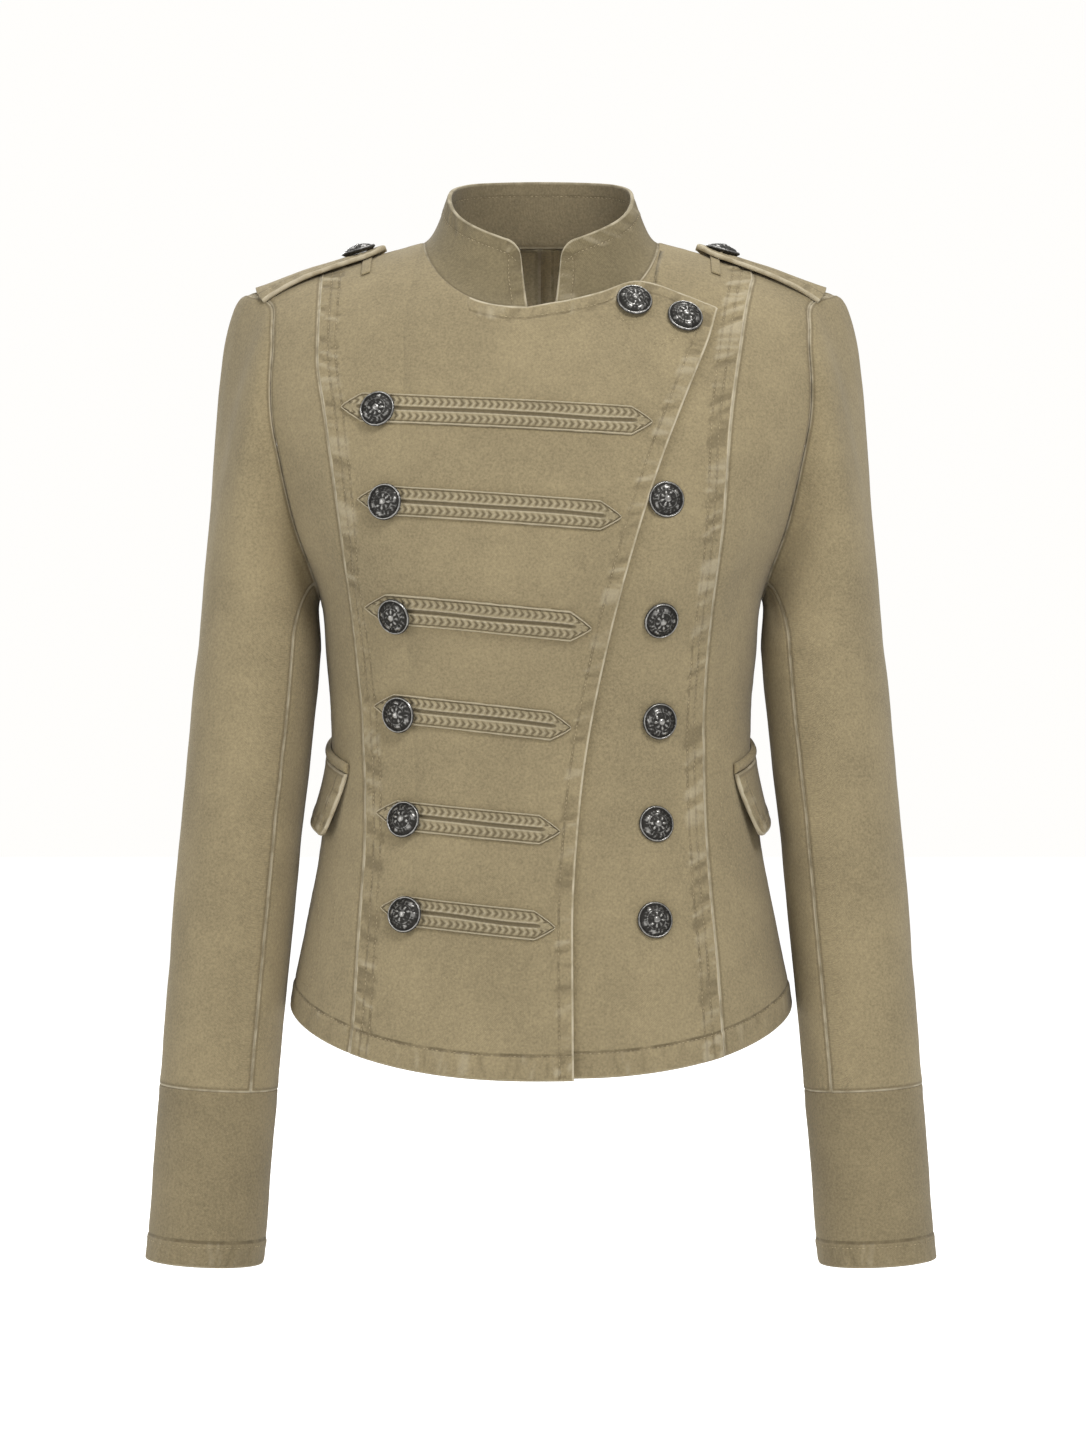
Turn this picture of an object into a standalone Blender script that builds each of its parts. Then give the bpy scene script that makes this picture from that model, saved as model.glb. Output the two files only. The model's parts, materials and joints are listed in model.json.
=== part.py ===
# Napoleon jacket: a short fitted double-breasted cloth jacket that keeps its worn, hollow shape.
# Lengths below are millimetres. The wearer faces -Y and +Z is up. The origin is midway between
# the two points where the shoulder seams meet the collar, so heights below it are negative.
import math

import bmesh
import bpy
from mathutils import Vector
from mathutils.bvhtree import BVHTree

MM = 0.001
JACKET = "napoleon_jacket"

CLOTH = 1.6  # the cut panels with their turned seam allowances
COLLAR_CLOTH = 2.3  # two layers and a stiffener
SEAM_GAP = 0.17  # taken off every panel at a seam, so that two neighbours are 0.34 apart
CLEAR = 0.3  # between a trim and what it lies on

BUST = -230.0  # height of the fullest part of the chest, level 0 of the table below
UNDERARM = -2.0  # level of the lowest point of the armhole
NECK_WIDE = 76.5  # from the middle to the neck end of the shoulder seam
NECK_FRONT = 71.7  # from the shoulder seam forward to the pit of the neck
NECK_BACK = 48.0  # from the shoulder seam back to the middle of the nape
SEAM_AHEAD = 8.0  # the shoulder seam lies this far in front of the top of the shoulder
SHOULDER_END = 187.0
SHOULDER_DROP = 0.33
SHOULDER_SOFT = 60.0
FRONT_ROLL = 1.9
BACK_ROLL = 2.3

# The body. Levels run along the cloth, 0 at the bust line, negative below it.
# level, half width, front depth, back depth, squareness
BODY = (
    (-320, 166, 121, 120, 2.3),
    (-262, 162, 118, 116, 2.3),
    (-210, 152, 112, 108, 2.3),
    (-158, 142.5, 104, 98, 2.28),
    (-93, 136, 97, 90, 2.25),
    (-67, 136.8, 99, 90, 2.25),
    (-41, 139.2, 107, 94, 2.3),
    (0, 143.5, 121, 102, 2.35),
    (45, 162.7, 124, 106, 2.4),
    (88, 177.7, 124, 108, 2.4),
    (121, 187.7, 124, 108, 2.4),
    (173, 194.6, 124, 108, 2.4),
    (240, 198, 125, 108, 2.4),
    (400, 198, 125, 108, 2.4),
)
WIDE, FRONT, BACK, SQUARE = 1, 2, 3, 4

# The long curved seams of the two fronts, from the shoulder to the hem: height, sideways.
SEAM_RIGHT = (
    (-26.8, 141.6), (-77.4, 142), (-120.5, 136), (-175.7, 128.1), (-230.6, 121.2),
    (-298.7, 114.3), (-374.7, 111.3), (-448.6, 115.1), (-501, 118.2), (-519, 120),
)
SEAM_LEFT = (
    (-26.5, 136.4), (-72.1, 126.6), (-121.2, 119.4), (-188.7, 114), (-247.3, 107),
    (-310.2, 103.2), (-368.3, 103.6), (-420.3, 107), (-460.9, 110.7), (-521, 115),
)
# The slanting edge of the right front where it crosses over the left: height, sideways.
CROSS_EDGE = (
    (-48.4, 112.4), (-69.6, 106.1), (-102.7, 92.8), (-151.4, 74.2), (-190.4, 61.6),
    (-224.6, 51.8), (-272.8, 40), (-330.9, 28.8), (-382, 23), (-440.8, 20), (-535.5, 20.5),
)
# The top edge of the same crossing part, from the collar's end to its outer corner.
CROSS_TOP = (
    (-8.2, -49.3), (14, -46.4), (37.3, -40.2), (61, -32.2),
    (78, -35.4), (95, -41), (112.4, -48.4),
)
# The top of the left front's hidden strip, behind the collar's opening: sideways, height.
UNDER_TOP = ((-16.0, -51.5), (-4.0, -51.0))
CROSS_SINK = 3.0  # the left front lies this far under the crossing part
CROSS_BLEND = 22.0
CROSS_LIFT = 1.6  # the free top edge stands off the collar by this

HEM_RIGHT_SEAM = 120.0  # how far aside the long seams and the fronts' edges meet the hem
HEM_LEFT_SEAM = 115.0
HEM_CROSS_EDGE = 20.5
HEM_UNDER_EDGE = -24.0
UNDER_EDGE_LEAN = 8.0  # the hidden edge of the left front comes this much nearer at the top
UNDER_HEM_LIFT = 2.0  # the hidden corner of the left front ends this much higher
HEM_LEVEL = -300.0
SHOULDER_HIGH = -26.0  # height at which the long seams meet the shoulder seam

HEM_SIDE = -493.0
HEM_DIP = 41.5  # the front hem falls this far below the side hem
HEM_BACK_DIP = 6.0
HEM_BAND = 15.0
HEM_PROUD = 0.5

ARM_MIDDLE = -134.0
ARM_HALF = 98.0
ARM_FRONT = 46.0
ARM_BACK = 44.0
ARM_TURNS = (0, 8, 16, 26, 48, 70, 92, 114, 136, 158, 180)  # degrees round the armhole
RISE_STEPS = (0, 0.03, 0.06, 0.1, 0.2, 0.33, 0.48, 0.63, 0.78, 0.9, 1)
ROWS_BELOW = 12
SIDE_COLUMNS = 6

# The sleeve from above the elbow to the cuff: height, outer edge, inner edge, middle, half depth
SLEEVE = (
    (-262, 222.2, 143.0, -2, 57),
    (-300, 226.2, 145.9, -3, 54),
    (-340, 229.6, 150.3, -5, 52),
    (-385, 233, 155.4, -8, 49.5),
    (-430, 237, 159.6, -11, 47),
    (-475, 240.4, 163.8, -15, 45),
    (-515, 243.4, 167.4, -19, 43.5),
    (-546, 245.6, 170, -22, 42.5),
    (-574, 247.4, 172.3, -25, 42),
    (-601, 249.3, 174.2, -28, 42),
    (-628, 251.2, 176.2, -31, 42),
    (-656, 253.3, 178.8, -33.5, 42),
)
SLEEVE_TILT = 0.055
SLEEVE_SQUARE = 2.15
AROUND = 20
HEAD_ROWS = 8
HEAD_EVEN = 0.55  # the head's rings lie closer together near the armhole when this is below 1
HEAD_LOW = 3.0  # how far the cloth leaves the armhole sideways, at the underarm
HEAD_HIGH = 19.0  # and at the shoulder
HEAD_HANG = 0.42  # share of the drop over which it has turned to hang down
CUFF_ROW = 7
FRONT_SEAM = 3
BACK_SEAM = 16

COLLAR_TALL = (0, 0.14, 0.34, 0.62, 0.84, 1)
COLLAR_WIDE = 60.0
COLLAR_FRONT = 49.0
COLLAR_BACK = 48.0
COLLAR_MIDDLE = -10.0
COLLAR_END = 8.2
COLLAR_MOUTH = 13.5  # half the gap between the collar's ends at the top
COLLAR_STEPS = 6
NECK_OVAL = 1.3  # roundness of the front neckline
# The rounded upper corner: share of the first column's width, how much lower its top ends
COLLAR_CORNER = ((0, 9.0), (0.17, 2.9), (0.36, 0.8), (0.6, 0.0))
COLLAR_HIGH = 44.0
COLLAR_LEAN = 0.8  # how early the collar leans to the neck, at its ends
COLLAR_LEAN_SIDE = 0.25  # less so at the sides
# The collar's top edge: fore and aft position, height
COLLAR_TOP = ((-60, -8.5), (-52, 0), (-35, 12.4), (-5, 32), (15, 39.5), (38, 44.5))

# The braids: height and sideways of the outer tip, then of the inner tip
BRAIDS = (
    (-113.3, -125.1, -124.3, 69.3),
    (-171.9, -113.9, -184.3, 49.7),
    (-239.1, -109.4, -253.0, 31.2),
    (-301.3, -105.0, -315.2, 18.8),
    (-368.9, -102.9, -380.1, 11.9),
    (-428.2, -99.8, -439.6, 8.8),
)
BRAID_HALF = 9.3
BRAID_POINT = 13.0
BRAID_ACROSS = ((-1, 0.8), (-0.72, 2.0), (-0.3, 1.0), (0, 1.6), (0.3, 1.0), (0.72, 2.0), (1, 0.8))
BRAID_HIGH = 2.0

BUTTON_SHAPE = ((0, 0), (9.4, 0), (11.5, 2.2), (10.1, 3.6), (5.6, 5.0), (0, 5.6))
BUTTONS_ON_BRAID = (
    (-101.5, -116.0), (-96.0, -174.2), (-90.1, -244.5),
    (-87.5, -306.4), (-84.8, -373.0), (-83.8, -432.2),
)
BUTTONS_LEFT = (
    (78.5, -172.7), (75.0, -247.8), (74.2, -310.8), (72.2, -375.4), (71.2, -435.1),
)
BUTTONS_CORNER = ((58.8, -45.8), (91.1, -55.3))

EPAULETTE_OUT = 184.5
EPAULETTE_IN = 100.0
EPAULETTE_BOW = 6.5  # its outer end follows the armhole by this much
EPAULETTE_HALF = 21.0
EPAULETTE_THICK = 2.6
EPAULETTE_BUTTON = 116.5
KEEPER_AT = 112.0
KEEPER_HALF = 2.8
KEEPER_THICK = 0.9

# The pocket on each side: turn round the side in radians (forward is positive) and height
POCKET_FRONT = (0.50, -341.5)
POCKET_REAR = (-0.42, -317.0)
WELT_HALF = 3.2
WELT_HIGH = 3.6
FLAP_WIDE = 100.0
FLAP_LONG = 41.0
FLAP_SHIFT = -0.10
FLAP_THICK = 2.4
FLAP_STAND = 5.5
FLAP_CORNER = 6.0

CLOTH_COLOUR = (0.34, 0.285, 0.175, 1)
TRIM_COLOUR = (0.36, 0.30, 0.18, 1)
BUTTON_COLOUR = (0.20, 0.20, 0.20, 1)


def smooth_row(rows, column, at):
    """The value of one column between the rows of a table, through a smooth curve."""
    if at <= rows[0][0]:
        return rows[0][column]
    if at >= rows[-1][0]:
        return rows[-1][column]
    k = 0
    while at > rows[k + 1][0]:
        k += 1

    def slope(m):
        if m == 0:
            return (rows[1][column] - rows[0][column]) / (rows[1][0] - rows[0][0])
        if m == len(rows) - 1:
            return (rows[m][column] - rows[m - 1][column]) / (rows[m][0] - rows[m - 1][0])
        before = (rows[m][column] - rows[m - 1][column]) / (rows[m][0] - rows[m - 1][0])
        after = (rows[m + 1][column] - rows[m][column]) / (rows[m + 1][0] - rows[m][0])
        return 0.0 if before * after < 0 else 0.5 * (before + after)

    step = rows[k + 1][0] - rows[k][0]
    t = (at - rows[k][0]) / step
    start = rows[k][column]
    end = rows[k + 1][column]
    leave = slope(k) * step
    arrive = slope(k + 1) * step
    return (
        (2 * t**3 - 3 * t**2 + 1) * start
        + (t**3 - 2 * t**2 + t) * leave
        + (-2 * t**3 + 3 * t**2) * end
        + (t**3 - t**2) * arrive
    )


def soft_step(t):
    t = min(1.0, max(0.0, t))
    return t * t * (3 - 2 * t)


def ridge(x):
    """Height of the top of the shoulder at a sideways position."""
    return -SHOULDER_DROP * (math.hypot(x, SHOULDER_SOFT) - math.hypot(NECK_WIDE, SHOULDER_SOFT))


def level_of(x, z):
    if z <= BUST:
        return z - BUST
    rise = ridge(x) - BUST
    return rise * math.asin(min(1.0, (z - BUST) / rise))


def spot(turn, level, hand):
    """A point of the body. turn is 0 at the side, 90 degrees at the front middle and minus
    90 degrees at the back middle. hand is -1 for the wearer's right and 1 for the left."""
    half = smooth_row(BODY, WIDE, level)
    square = smooth_row(BODY, SQUARE, level)
    c = math.cos(turn)
    s = math.sin(turn)
    x = half * math.copysign(abs(c) ** (2 / square), c)
    rise = ridge(x) - BUST
    roll = max(0.0, level) / rise
    ahead = s > 0
    if roll > math.pi / 2:
        roll = math.pi - roll
        ahead = not ahead
    power = FRONT_ROLL if ahead else BACK_ROLL
    deep = smooth_row(BODY, FRONT if ahead else BACK, level)
    close = max(0.0, 1 - math.sin(roll) ** power) ** (1 / power)
    y = deep * abs(s) ** (2 / square) * close
    z = BUST + (level if level < 0 else rise * math.sin(roll))
    return Vector((hand * x, -y if ahead else y, z))


def normal_at(turn, level, hand):
    e = 0.02
    across = spot(turn + e, level, hand) - spot(turn - e, level, hand)
    up = spot(turn, level + 1.5, hand) - spot(turn, level - 1.5, hand)
    out = across.cross(up) if hand < 0 else up.cross(across)
    return out.normalized()


def turn_of(x, level):
    half = smooth_row(BODY, WIDE, level)
    square = smooth_row(BODY, SQUARE, level)
    t = min(1.0, abs(x) / half)
    turn = math.acos(t ** (square / 2))
    return turn if x >= 0 else math.pi - turn


def front_place(x, z, hand):
    """turn and level of the front point at a sideways position and a height."""
    level = level_of(x, z)
    return (turn_of(hand * x, level), level)


def plan_place(x, y, hand, behind=False):
    """turn and level of the point above a plan position near the shoulder or the neck.
    x is the distance from the middle. behind counts the level from the back, over the top."""
    rise = ridge(x) - BUST
    level = rise * math.pi / 2
    ahead = y < 0
    power = FRONT_ROLL if ahead else BACK_ROLL
    for _ in range(4):
        half = smooth_row(BODY, WIDE, level)
        square = smooth_row(BODY, SQUARE, level)
        deep = smooth_row(BODY, FRONT if ahead else BACK, level)
        full = deep * (1 - (abs(x) / half) ** square) ** (1 / square)
        close = min(1.0, abs(y) / full)
        level = rise * math.asin((1 - close**power) ** (1 / power))
    turn = turn_of(abs(x), level)
    if behind:
        turn = -turn
        if ahead:
            level = rise * math.pi - level
    elif not ahead:
        level = rise * math.pi - level
    return (turn, level)


def side_place(y, z):
    """turn and level of the point at a fore and aft position and a height on the side."""
    x = 165.0
    ahead = y < 0
    power = FRONT_ROLL if ahead else BACK_ROLL
    level = 0.0
    for _ in range(8):
        rise = ridge(x) - BUST
        level = level_of(x, z)
        half = smooth_row(BODY, WIDE, level)
        square = smooth_row(BODY, SQUARE, level)
        deep = smooth_row(BODY, FRONT if ahead else BACK, level)
        lift = max(0.0, z - BUST) / rise
        close = max(1e-6, 1 - min(1.0, lift) ** power) ** (1 / power)
        full = min(1.0, abs(y) / (deep * close))
        x = half * (1 - full**square) ** (1 / square)
    turn = math.acos(min(1.0, (x / half) ** (square / 2)))
    return (turn if ahead else -turn, level)


def hem_place(turn):
    s = abs(math.sin(turn))
    if turn >= 0:
        return (turn, HEM_SIDE - BUST - HEM_DIP * s**1.35)
    return (turn, HEM_SIDE - BUST - HEM_BACK_DIP * s)


def seam_curve(rows, hand, hem_level, top_place):
    """Places up a long seam, one for each row of the panels, from the hem to the top."""
    marks = []
    for height, aside in rows:
        marks.append((level_of(aside, height), aside))
    marks.sort()
    levels = rows_of_levels(hem_level, 0.0, top_place[1])
    places = []
    for level in levels[:-1]:
        x = smooth_row(marks, 1, level)
        places.append((turn_of(x, level), level))
    places.append(top_place)
    return places


def rows_of_levels(hem_level, bust_level, top_level):
    band = hem_level + HEM_BAND
    levels = [hem_level, band, band + 1.5]
    count = ROWS_BELOW - 2
    for k in range(1, count + 1):
        levels.append(band + 1.5 + (bust_level - band - 1.5) * k / count)
    for step in RISE_STEPS[1:]:
        levels.append(bust_level + (top_level - bust_level) * step)
    return levels


def armhole(degrees, behind):
    """turn and level of the armhole: 0 at the underarm, 180 at the shoulder seam."""
    a = math.radians(degrees)
    ahead = SEAM_AHEAD * (1 - math.cos(a)) / 2
    z = ARM_MIDDLE - ARM_HALF * math.cos(a)
    if degrees >= 179.9:
        return plan_place(SHOULDER_END, -SEAM_AHEAD, 1, behind)
    if degrees <= 0.1:
        return (0.0, UNDERARM)
    y = -ahead + ARM_BACK * math.sin(a) if behind else -ahead - ARM_FRONT * math.sin(a)
    turn, level = side_place(y, z)
    if behind and turn > 0:
        rise = ridge(smooth_row(BODY, WIDE, level) * 0.94) - BUST
        return (-turn, rise * math.pi - level)
    return (turn, level)


def side_curve(behind):
    """Places up the side seam and then round half of the armhole."""
    hem_level = hem_place(0.0)[1]
    levels = rows_of_levels(hem_level, UNDERARM, 100.0)[: ROWS_BELOW + 1]
    places = [(0.0, level) for level in levels]
    for degrees in ARM_TURNS[1:]:
        places.append(armhole(degrees, behind))
    return places


def mix(a, b, t):
    return (a[0] + (b[0] - a[0]) * t, a[1] + (b[1] - a[1]) * t)


def patch(first, last, low, high, across, up):
    """Places filling the four-sided region between two seams, a hem and a top edge."""
    places = []
    for j, v in enumerate(up):
        row = []
        for i, u in enumerate(across):
            side = mix(first[j], last[j], u)
            low_side = mix(first[0], last[0], u)
            high_side = mix(first[-1], last[-1], u)
            row.append((
                side[0] + (1 - v) * (low[i][0] - low_side[0]) + v * (high[i][0] - high_side[0]),
                side[1] + (1 - v) * (low[i][1] - low_side[1]) + v * (high[i][1] - high_side[1]),
            ))
        places.append(row)
    return places


def up_steps(curve):
    return [(p[1] - curve[0][1]) / (curve[-1][1] - curve[0][1]) for p in curve]


def cross_edge_at(z):
    marks = sorted(CROSS_EDGE)
    return smooth_row(marks, 1, z)


def cross_top_at(x):
    return smooth_row(CROSS_TOP, 1, x)


def sink(point):
    """How far the left front lies below the body's surface, under the crossing part."""
    beside = point.x - cross_edge_at(point.z)
    above = point.z - cross_top_at(point.x)
    return -CROSS_SINK * (1 - soft_step(max(beside, above) / CROSS_BLEND))


def lift_off(point):
    """How far the crossing part stands off the collar near its free top edge."""
    beside = soft_step((point.x + 6) / 14) * soft_step((90 - point.x) / 20)
    return CROSS_LIFT * beside * (1 - soft_step((cross_top_at(point.x) - point.z) / 24))


def walls(places, hand, thick, shift):
    """Outer and inner points of a panel. shift gives the distance off the body's surface."""
    outer = []
    inner = []
    for j, row in enumerate(places):
        out_row = []
        in_row = []
        for turn, level in row:
            out = normal_at(turn, level, hand)
            base = spot(turn, level, hand)
            surface = base + out * shift(base)
            band = HEM_PROUD if j < 2 else 0.0
            out_row.append(surface + out * band)
            in_row.append(surface - out * thick)
        outer.append(out_row)
        inner.append(in_row)
    return outer, inner


def no_shift(point):
    return 0.0


def pull_in(outer, inner, gap, edges="first last low high"):
    """Moves chosen edges of a panel into it, which leaves room for its neighbours."""
    rows = len(outer)
    columns = len(outer[0])
    moves = []
    for j in range(rows):
        for name, i, inward in (("first", 0, 1), ("last", columns - 1, -1)):
            if name in edges:
                along = outer[min(rows - 1, j + 1)][i] - outer[max(0, j - 1)][i]
                across = outer[j][i + inward] - outer[j][i]
                across -= along * (across.dot(along) / along.length_squared)
                moves.append((j, i, across.normalized() * gap))
    for i in range(columns):
        for name, j, inward in (("low", 0, 1), ("high", rows - 1, -1)):
            if name in edges:
                along = outer[j][min(columns - 1, i + 1)] - outer[j][max(0, i - 1)]
                across = outer[j + inward][i] - outer[j][i]
                across -= along * (across.dot(along) / along.length_squared)
                moves.append((j, i, across.normalized() * gap))
    for j, i, move in moves:
        outer[j][i] = outer[j][i] + move
        inner[j][i] = inner[j][i] + move
    return outer, inner


def finish_mesh(name, bm, material, collection):
    bmesh.ops.recalc_face_normals(bm, faces=bm.faces[:])
    if bm.calc_volume(signed=True) < 0:
        bmesh.ops.reverse_faces(bm, faces=bm.faces[:])
    bmesh.ops.triangulate(bm, faces=bm.faces[:], quad_method="FIXED")
    mesh = bpy.data.meshes.new(name)
    bm.to_mesh(mesh)
    bm.free()
    for face in mesh.polygons:
        face.use_smooth = True
    thing = bpy.data.objects.new(name, mesh)
    thing.data.materials.append(material)
    collection.objects.link(thing)
    return thing


def cloth_wall(name, outer, inner, material, collection):
    """A closed wall of cloth between two sheets of points: a flat grid is extruded once,
    then one side is laid on the outer points and the other on the inner points."""
    rows = len(outer) - 1
    columns = len(outer[0]) - 1
    bm = bmesh.new()
    bmesh.ops.create_grid(bm, x_segments=columns, y_segments=rows, size=1.0)
    first_side = bm.verts[:]
    made = bmesh.ops.extrude_face_region(bm, geom=bm.faces[:], use_keep_orig=True)
    second_side = [g for g in made["geom"] if isinstance(g, bmesh.types.BMVert)]
    for verts, points in ((first_side, outer), (second_side, inner)):
        for vert in verts:
            i = round((vert.co.x + 1) / 2 * columns)
            j = round((vert.co.y + 1) / 2 * rows)
            vert.co = points[j][i] * MM
    return finish_mesh(name, bm, material, collection)


def facets(collection, names):
    """The faces of some finished pieces, in millimetres, for seating trims on them."""
    points = []
    faces = []
    for name in names:
        first = len(points)
        mesh = collection.objects[name].data
        points += [v.co / MM for v in mesh.vertices]
        faces += [[first + k for k in f.vertices] for f in mesh.polygons]
    return BVHTree.FromPolygons(points, faces)


def height_over(tree, point, out):
    """How far a point is above the faces under it, along a direction."""
    hit = tree.ray_cast(point + out * 14, -out, 40)[0]
    return None if hit is None else (point - hit).dot(out)


def seat(grid, outs, tree, clear):
    """Raises the points of an underside until it is clear of the faces below it."""
    rows = len(grid)
    columns = len(grid[0])
    for j in range(rows):
        for i in range(columns):
            over = height_over(tree, grid[j][i], outs[j][i])
            if over is not None and over < clear:
                grid[j][i] = grid[j][i] + outs[j][i] * (clear - over)
    for _ in range(4):
        for j in range(rows):
            for i in range(columns):
                for b, a in ((0, 1), (1, 0), (1, 1), (1, -1)):
                    if j + b >= rows or not 0 <= i + a < columns:
                        continue
                    for share in (0.25, 0.5, 0.75):
                        middle = grid[j][i].lerp(grid[j + b][i + a], share)
                        over = height_over(tree, middle, outs[j][i])
                        if over is not None and over < clear - 0.02:
                            more = outs[j][i] * (clear - over)
                            grid[j][i] = grid[j][i] + more
                            grid[j + b][i + a] = grid[j + b][i + a] + more


def cloth_tube(name, outer, inner, material, collection):
    """A closed ring of cloth: the outer rings from top to bottom, then the inner ones back up."""
    rings = outer + inner[::-1] + outer[:1]
    rows = len(rings) - 1
    columns = len(rings[0])
    bm = bmesh.new()
    bmesh.ops.create_grid(bm, x_segments=columns, y_segments=rows, size=1.0)
    for vert in bm.verts:
        i = round((vert.co.x + 1) / 2 * columns) % columns
        j = round((vert.co.y + 1) / 2 * rows)
        vert.co = rings[j][i] * MM
    bmesh.ops.remove_doubles(bm, verts=bm.verts[:], dist=0.000001)
    return finish_mesh(name, bm, material, collection)


def make_material(name, colour, roughness, metallic):
    material = bpy.data.materials.new(name)
    material.use_nodes = True
    shader = material.node_tree.nodes["Principled BSDF"]
    shader.inputs["Base Color"].default_value = colour
    shader.inputs["Roughness"].default_value = roughness
    shader.inputs["Metallic"].default_value = metallic
    material.diffuse_color = colour
    return material


def neck_front_points(hand):
    """Places along the front neckline, from the shoulder seam to the collar's end."""
    places = []
    stop = math.acos((COLLAR_END / NECK_WIDE) ** NECK_OVAL)
    for k in range(COLLAR_STEPS + 1):
        a = stop * k / COLLAR_STEPS
        x = NECK_WIDE * math.cos(a) ** (1 / NECK_OVAL)
        y = -SEAM_AHEAD - NECK_FRONT * math.sin(a) ** (1 / NECK_OVAL)
        places.append(plan_place(x, y, hand))
    return places


def neck_back_points():
    """Places along the back neckline, from the shoulder seam to the middle."""
    places = []
    for k in range(6):
        a = math.pi / 2 * k / 5
        x = NECK_WIDE * math.cos(a)
        y = -SEAM_AHEAD + NECK_BACK * math.sin(a)
        places.append(plan_place(x, y, 1, behind=True))
    return places


def build_right_front(collection, material):
    hand = -1
    top_start = plan_place(smooth_row(sorted(SEAM_RIGHT), 1, SHOULDER_HIGH), -SEAM_AHEAD, hand)
    neck = neck_front_points(hand)
    high = [top_start, mix(top_start, neck[0], 0.5)] + neck
    for x, z in CROSS_TOP[1:]:
        high.append(front_place(x, z, hand))
    aside = [-spot(p[0], p[1], hand).x for p in high]
    across = [(aside[0] - a) / (aside[0] - aside[-1]) for a in aside]
    low = []
    for u in across:
        x = -HEM_RIGHT_SEAM + (HEM_CROSS_EDGE + HEM_RIGHT_SEAM) * u
        low.append(hem_place(turn_of(hand * x, HEM_LEVEL)))
    first = seam_curve(SEAM_RIGHT, hand, low[0][1], top_start)
    first[0] = low[0]
    marks = sorted((level_of(a, h), a) for h, a in CROSS_EDGE)
    last = []
    for level in rows_of_levels(low[-1][1], 0.0, high[-1][1]):
        x = smooth_row(marks, 1, level)
        last.append((turn_of(hand * x, level), level))
    last[-1] = high[-1]
    low[-1] = last[0]
    places = patch(first, last, low, high, across, up_steps(first))
    outer, inner = walls(places, hand, CLOTH, lift_off)
    pull_in(outer, inner, SEAM_GAP, "first high")
    cloth_wall("front_right", outer, inner, material, collection)


def build_left_front(collection, material):
    hand = 1
    top_end = plan_place(smooth_row(sorted(SEAM_LEFT), 1, SHOULDER_HIGH), -SEAM_AHEAD, hand)
    neck = neck_front_points(hand)
    under = [front_place(x, z, hand) for x, z in UNDER_TOP]
    high = under + neck[::-1] + [mix(neck[0], top_end, 0.5), top_end]
    aside = [spot(p[0], p[1], hand).x for p in high]
    across = [(a - aside[0]) / (aside[-1] - aside[0]) for a in aside]
    low = []
    for u in across:
        x = HEM_UNDER_EDGE + (HEM_LEFT_SEAM - HEM_UNDER_EDGE) * u
        place = hem_place(turn_of(hand * x, HEM_LEVEL))
        low.append((place[0], place[1] + UNDER_HEM_LIFT * (1 - u)))
    last = seam_curve(SEAM_LEFT, hand, low[-1][1], top_end)
    last[0] = low[-1]
    first = []
    levels = rows_of_levels(low[0][1], 0.0, high[0][1])
    for k, level in enumerate(levels):
        x = HEM_UNDER_EDGE + UNDER_EDGE_LEAN * k / (len(levels) - 1)
        first.append((turn_of(hand * x, level), level))
    first[-1] = high[0]
    low[0] = first[0]
    places = patch(first, last, low, high, across, up_steps(last))
    outer, inner = walls(places, hand, CLOTH, sink)
    pull_in(outer, inner, SEAM_GAP, "last high")
    cloth_wall("front_left", outer, inner, material, collection)


def build_side_front(name, hand, rows, hem_x, shift, collection, material):
    columns = SIDE_COLUMNS
    top_start = plan_place(smooth_row(sorted(rows), 1, SHOULDER_HIGH), -SEAM_AHEAD, hand)
    start = hem_place(turn_of(hem_x, HEM_LEVEL))
    first = seam_curve(rows, hand, start[1], top_start)
    first[0] = start
    last = side_curve(False)
    across = [i / columns for i in range(columns + 1)]
    low = [hem_place(start[0] * (1 - u)) for u in across]
    start_x = abs(spot(top_start[0], top_start[1], hand).x)
    high = []
    for u in across:
        high.append(plan_place(start_x + (SHOULDER_END - start_x) * u, -SEAM_AHEAD, hand))
    high[0] = first[-1]
    high[-1] = last[-1]
    places = patch(first, last, low, high, across, up_steps(first))
    outer, inner = walls(places, hand, CLOTH, shift)
    pull_in(outer, inner, SEAM_GAP, "first last high")
    cloth_wall(name, outer, inner, material, collection)


def build_back(name, hand, collection, material):
    first = side_curve(True)
    neck = neck_back_points()
    high = []
    for u in (0, 0.25, 0.5, 0.75):
        x = SHOULDER_END + (NECK_WIDE - SHOULDER_END) * u
        high.append(plan_place(x, -SEAM_AHEAD, hand, behind=True))
    high[0] = first[-1]
    high += neck
    middle = -math.pi / 2
    high[-1] = (middle, high[-1][1])
    columns = len(high) - 1
    aside = [abs(spot(p[0], p[1], hand).x) for p in high]
    across = [(aside[0] - a) / aside[0] for a in aside]
    low = [hem_place(middle * u) for u in across]
    last = [(middle, level) for level in rows_of_levels(low[-1][1], 0.0, high[-1][1])]
    places = patch(first, last, low, high, across, up_steps(last))
    over_top = places[-1]
    near_top = places[-2]
    for i in range(columns + 1):
        near_top[i] = mix(near_top[i], over_top[i], 0.35)
    near_top[0] = first[-2]
    outer, inner = walls(places, hand, CLOTH, no_shift)
    pull_in(outer, inner, SEAM_GAP, "first last high")
    cloth_wall(name, outer, inner, material, collection)


def sleeve_ring(row):
    """One ring of the right sleeve: point 0 faces the body, the next ones go round the front."""
    height, outside, inside, middle, half_deep = row
    centre_x = (outside + inside) / 2
    half_wide = (outside - inside) / 2
    ring = []
    for k in range(AROUND):
        a = 2 * math.pi * k / AROUND
        c = math.cos(a)
        s = math.sin(a)
        x = centre_x - half_wide * math.copysign(abs(c) ** (2 / SLEEVE_SQUARE), c)
        y = middle - half_deep * math.copysign(abs(s) ** (2 / SLEEVE_SQUARE), s)
        z = height + SLEEVE_TILT * (x - centre_x)
        ring.append(Vector((-x, y, z)))
    return ring


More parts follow.
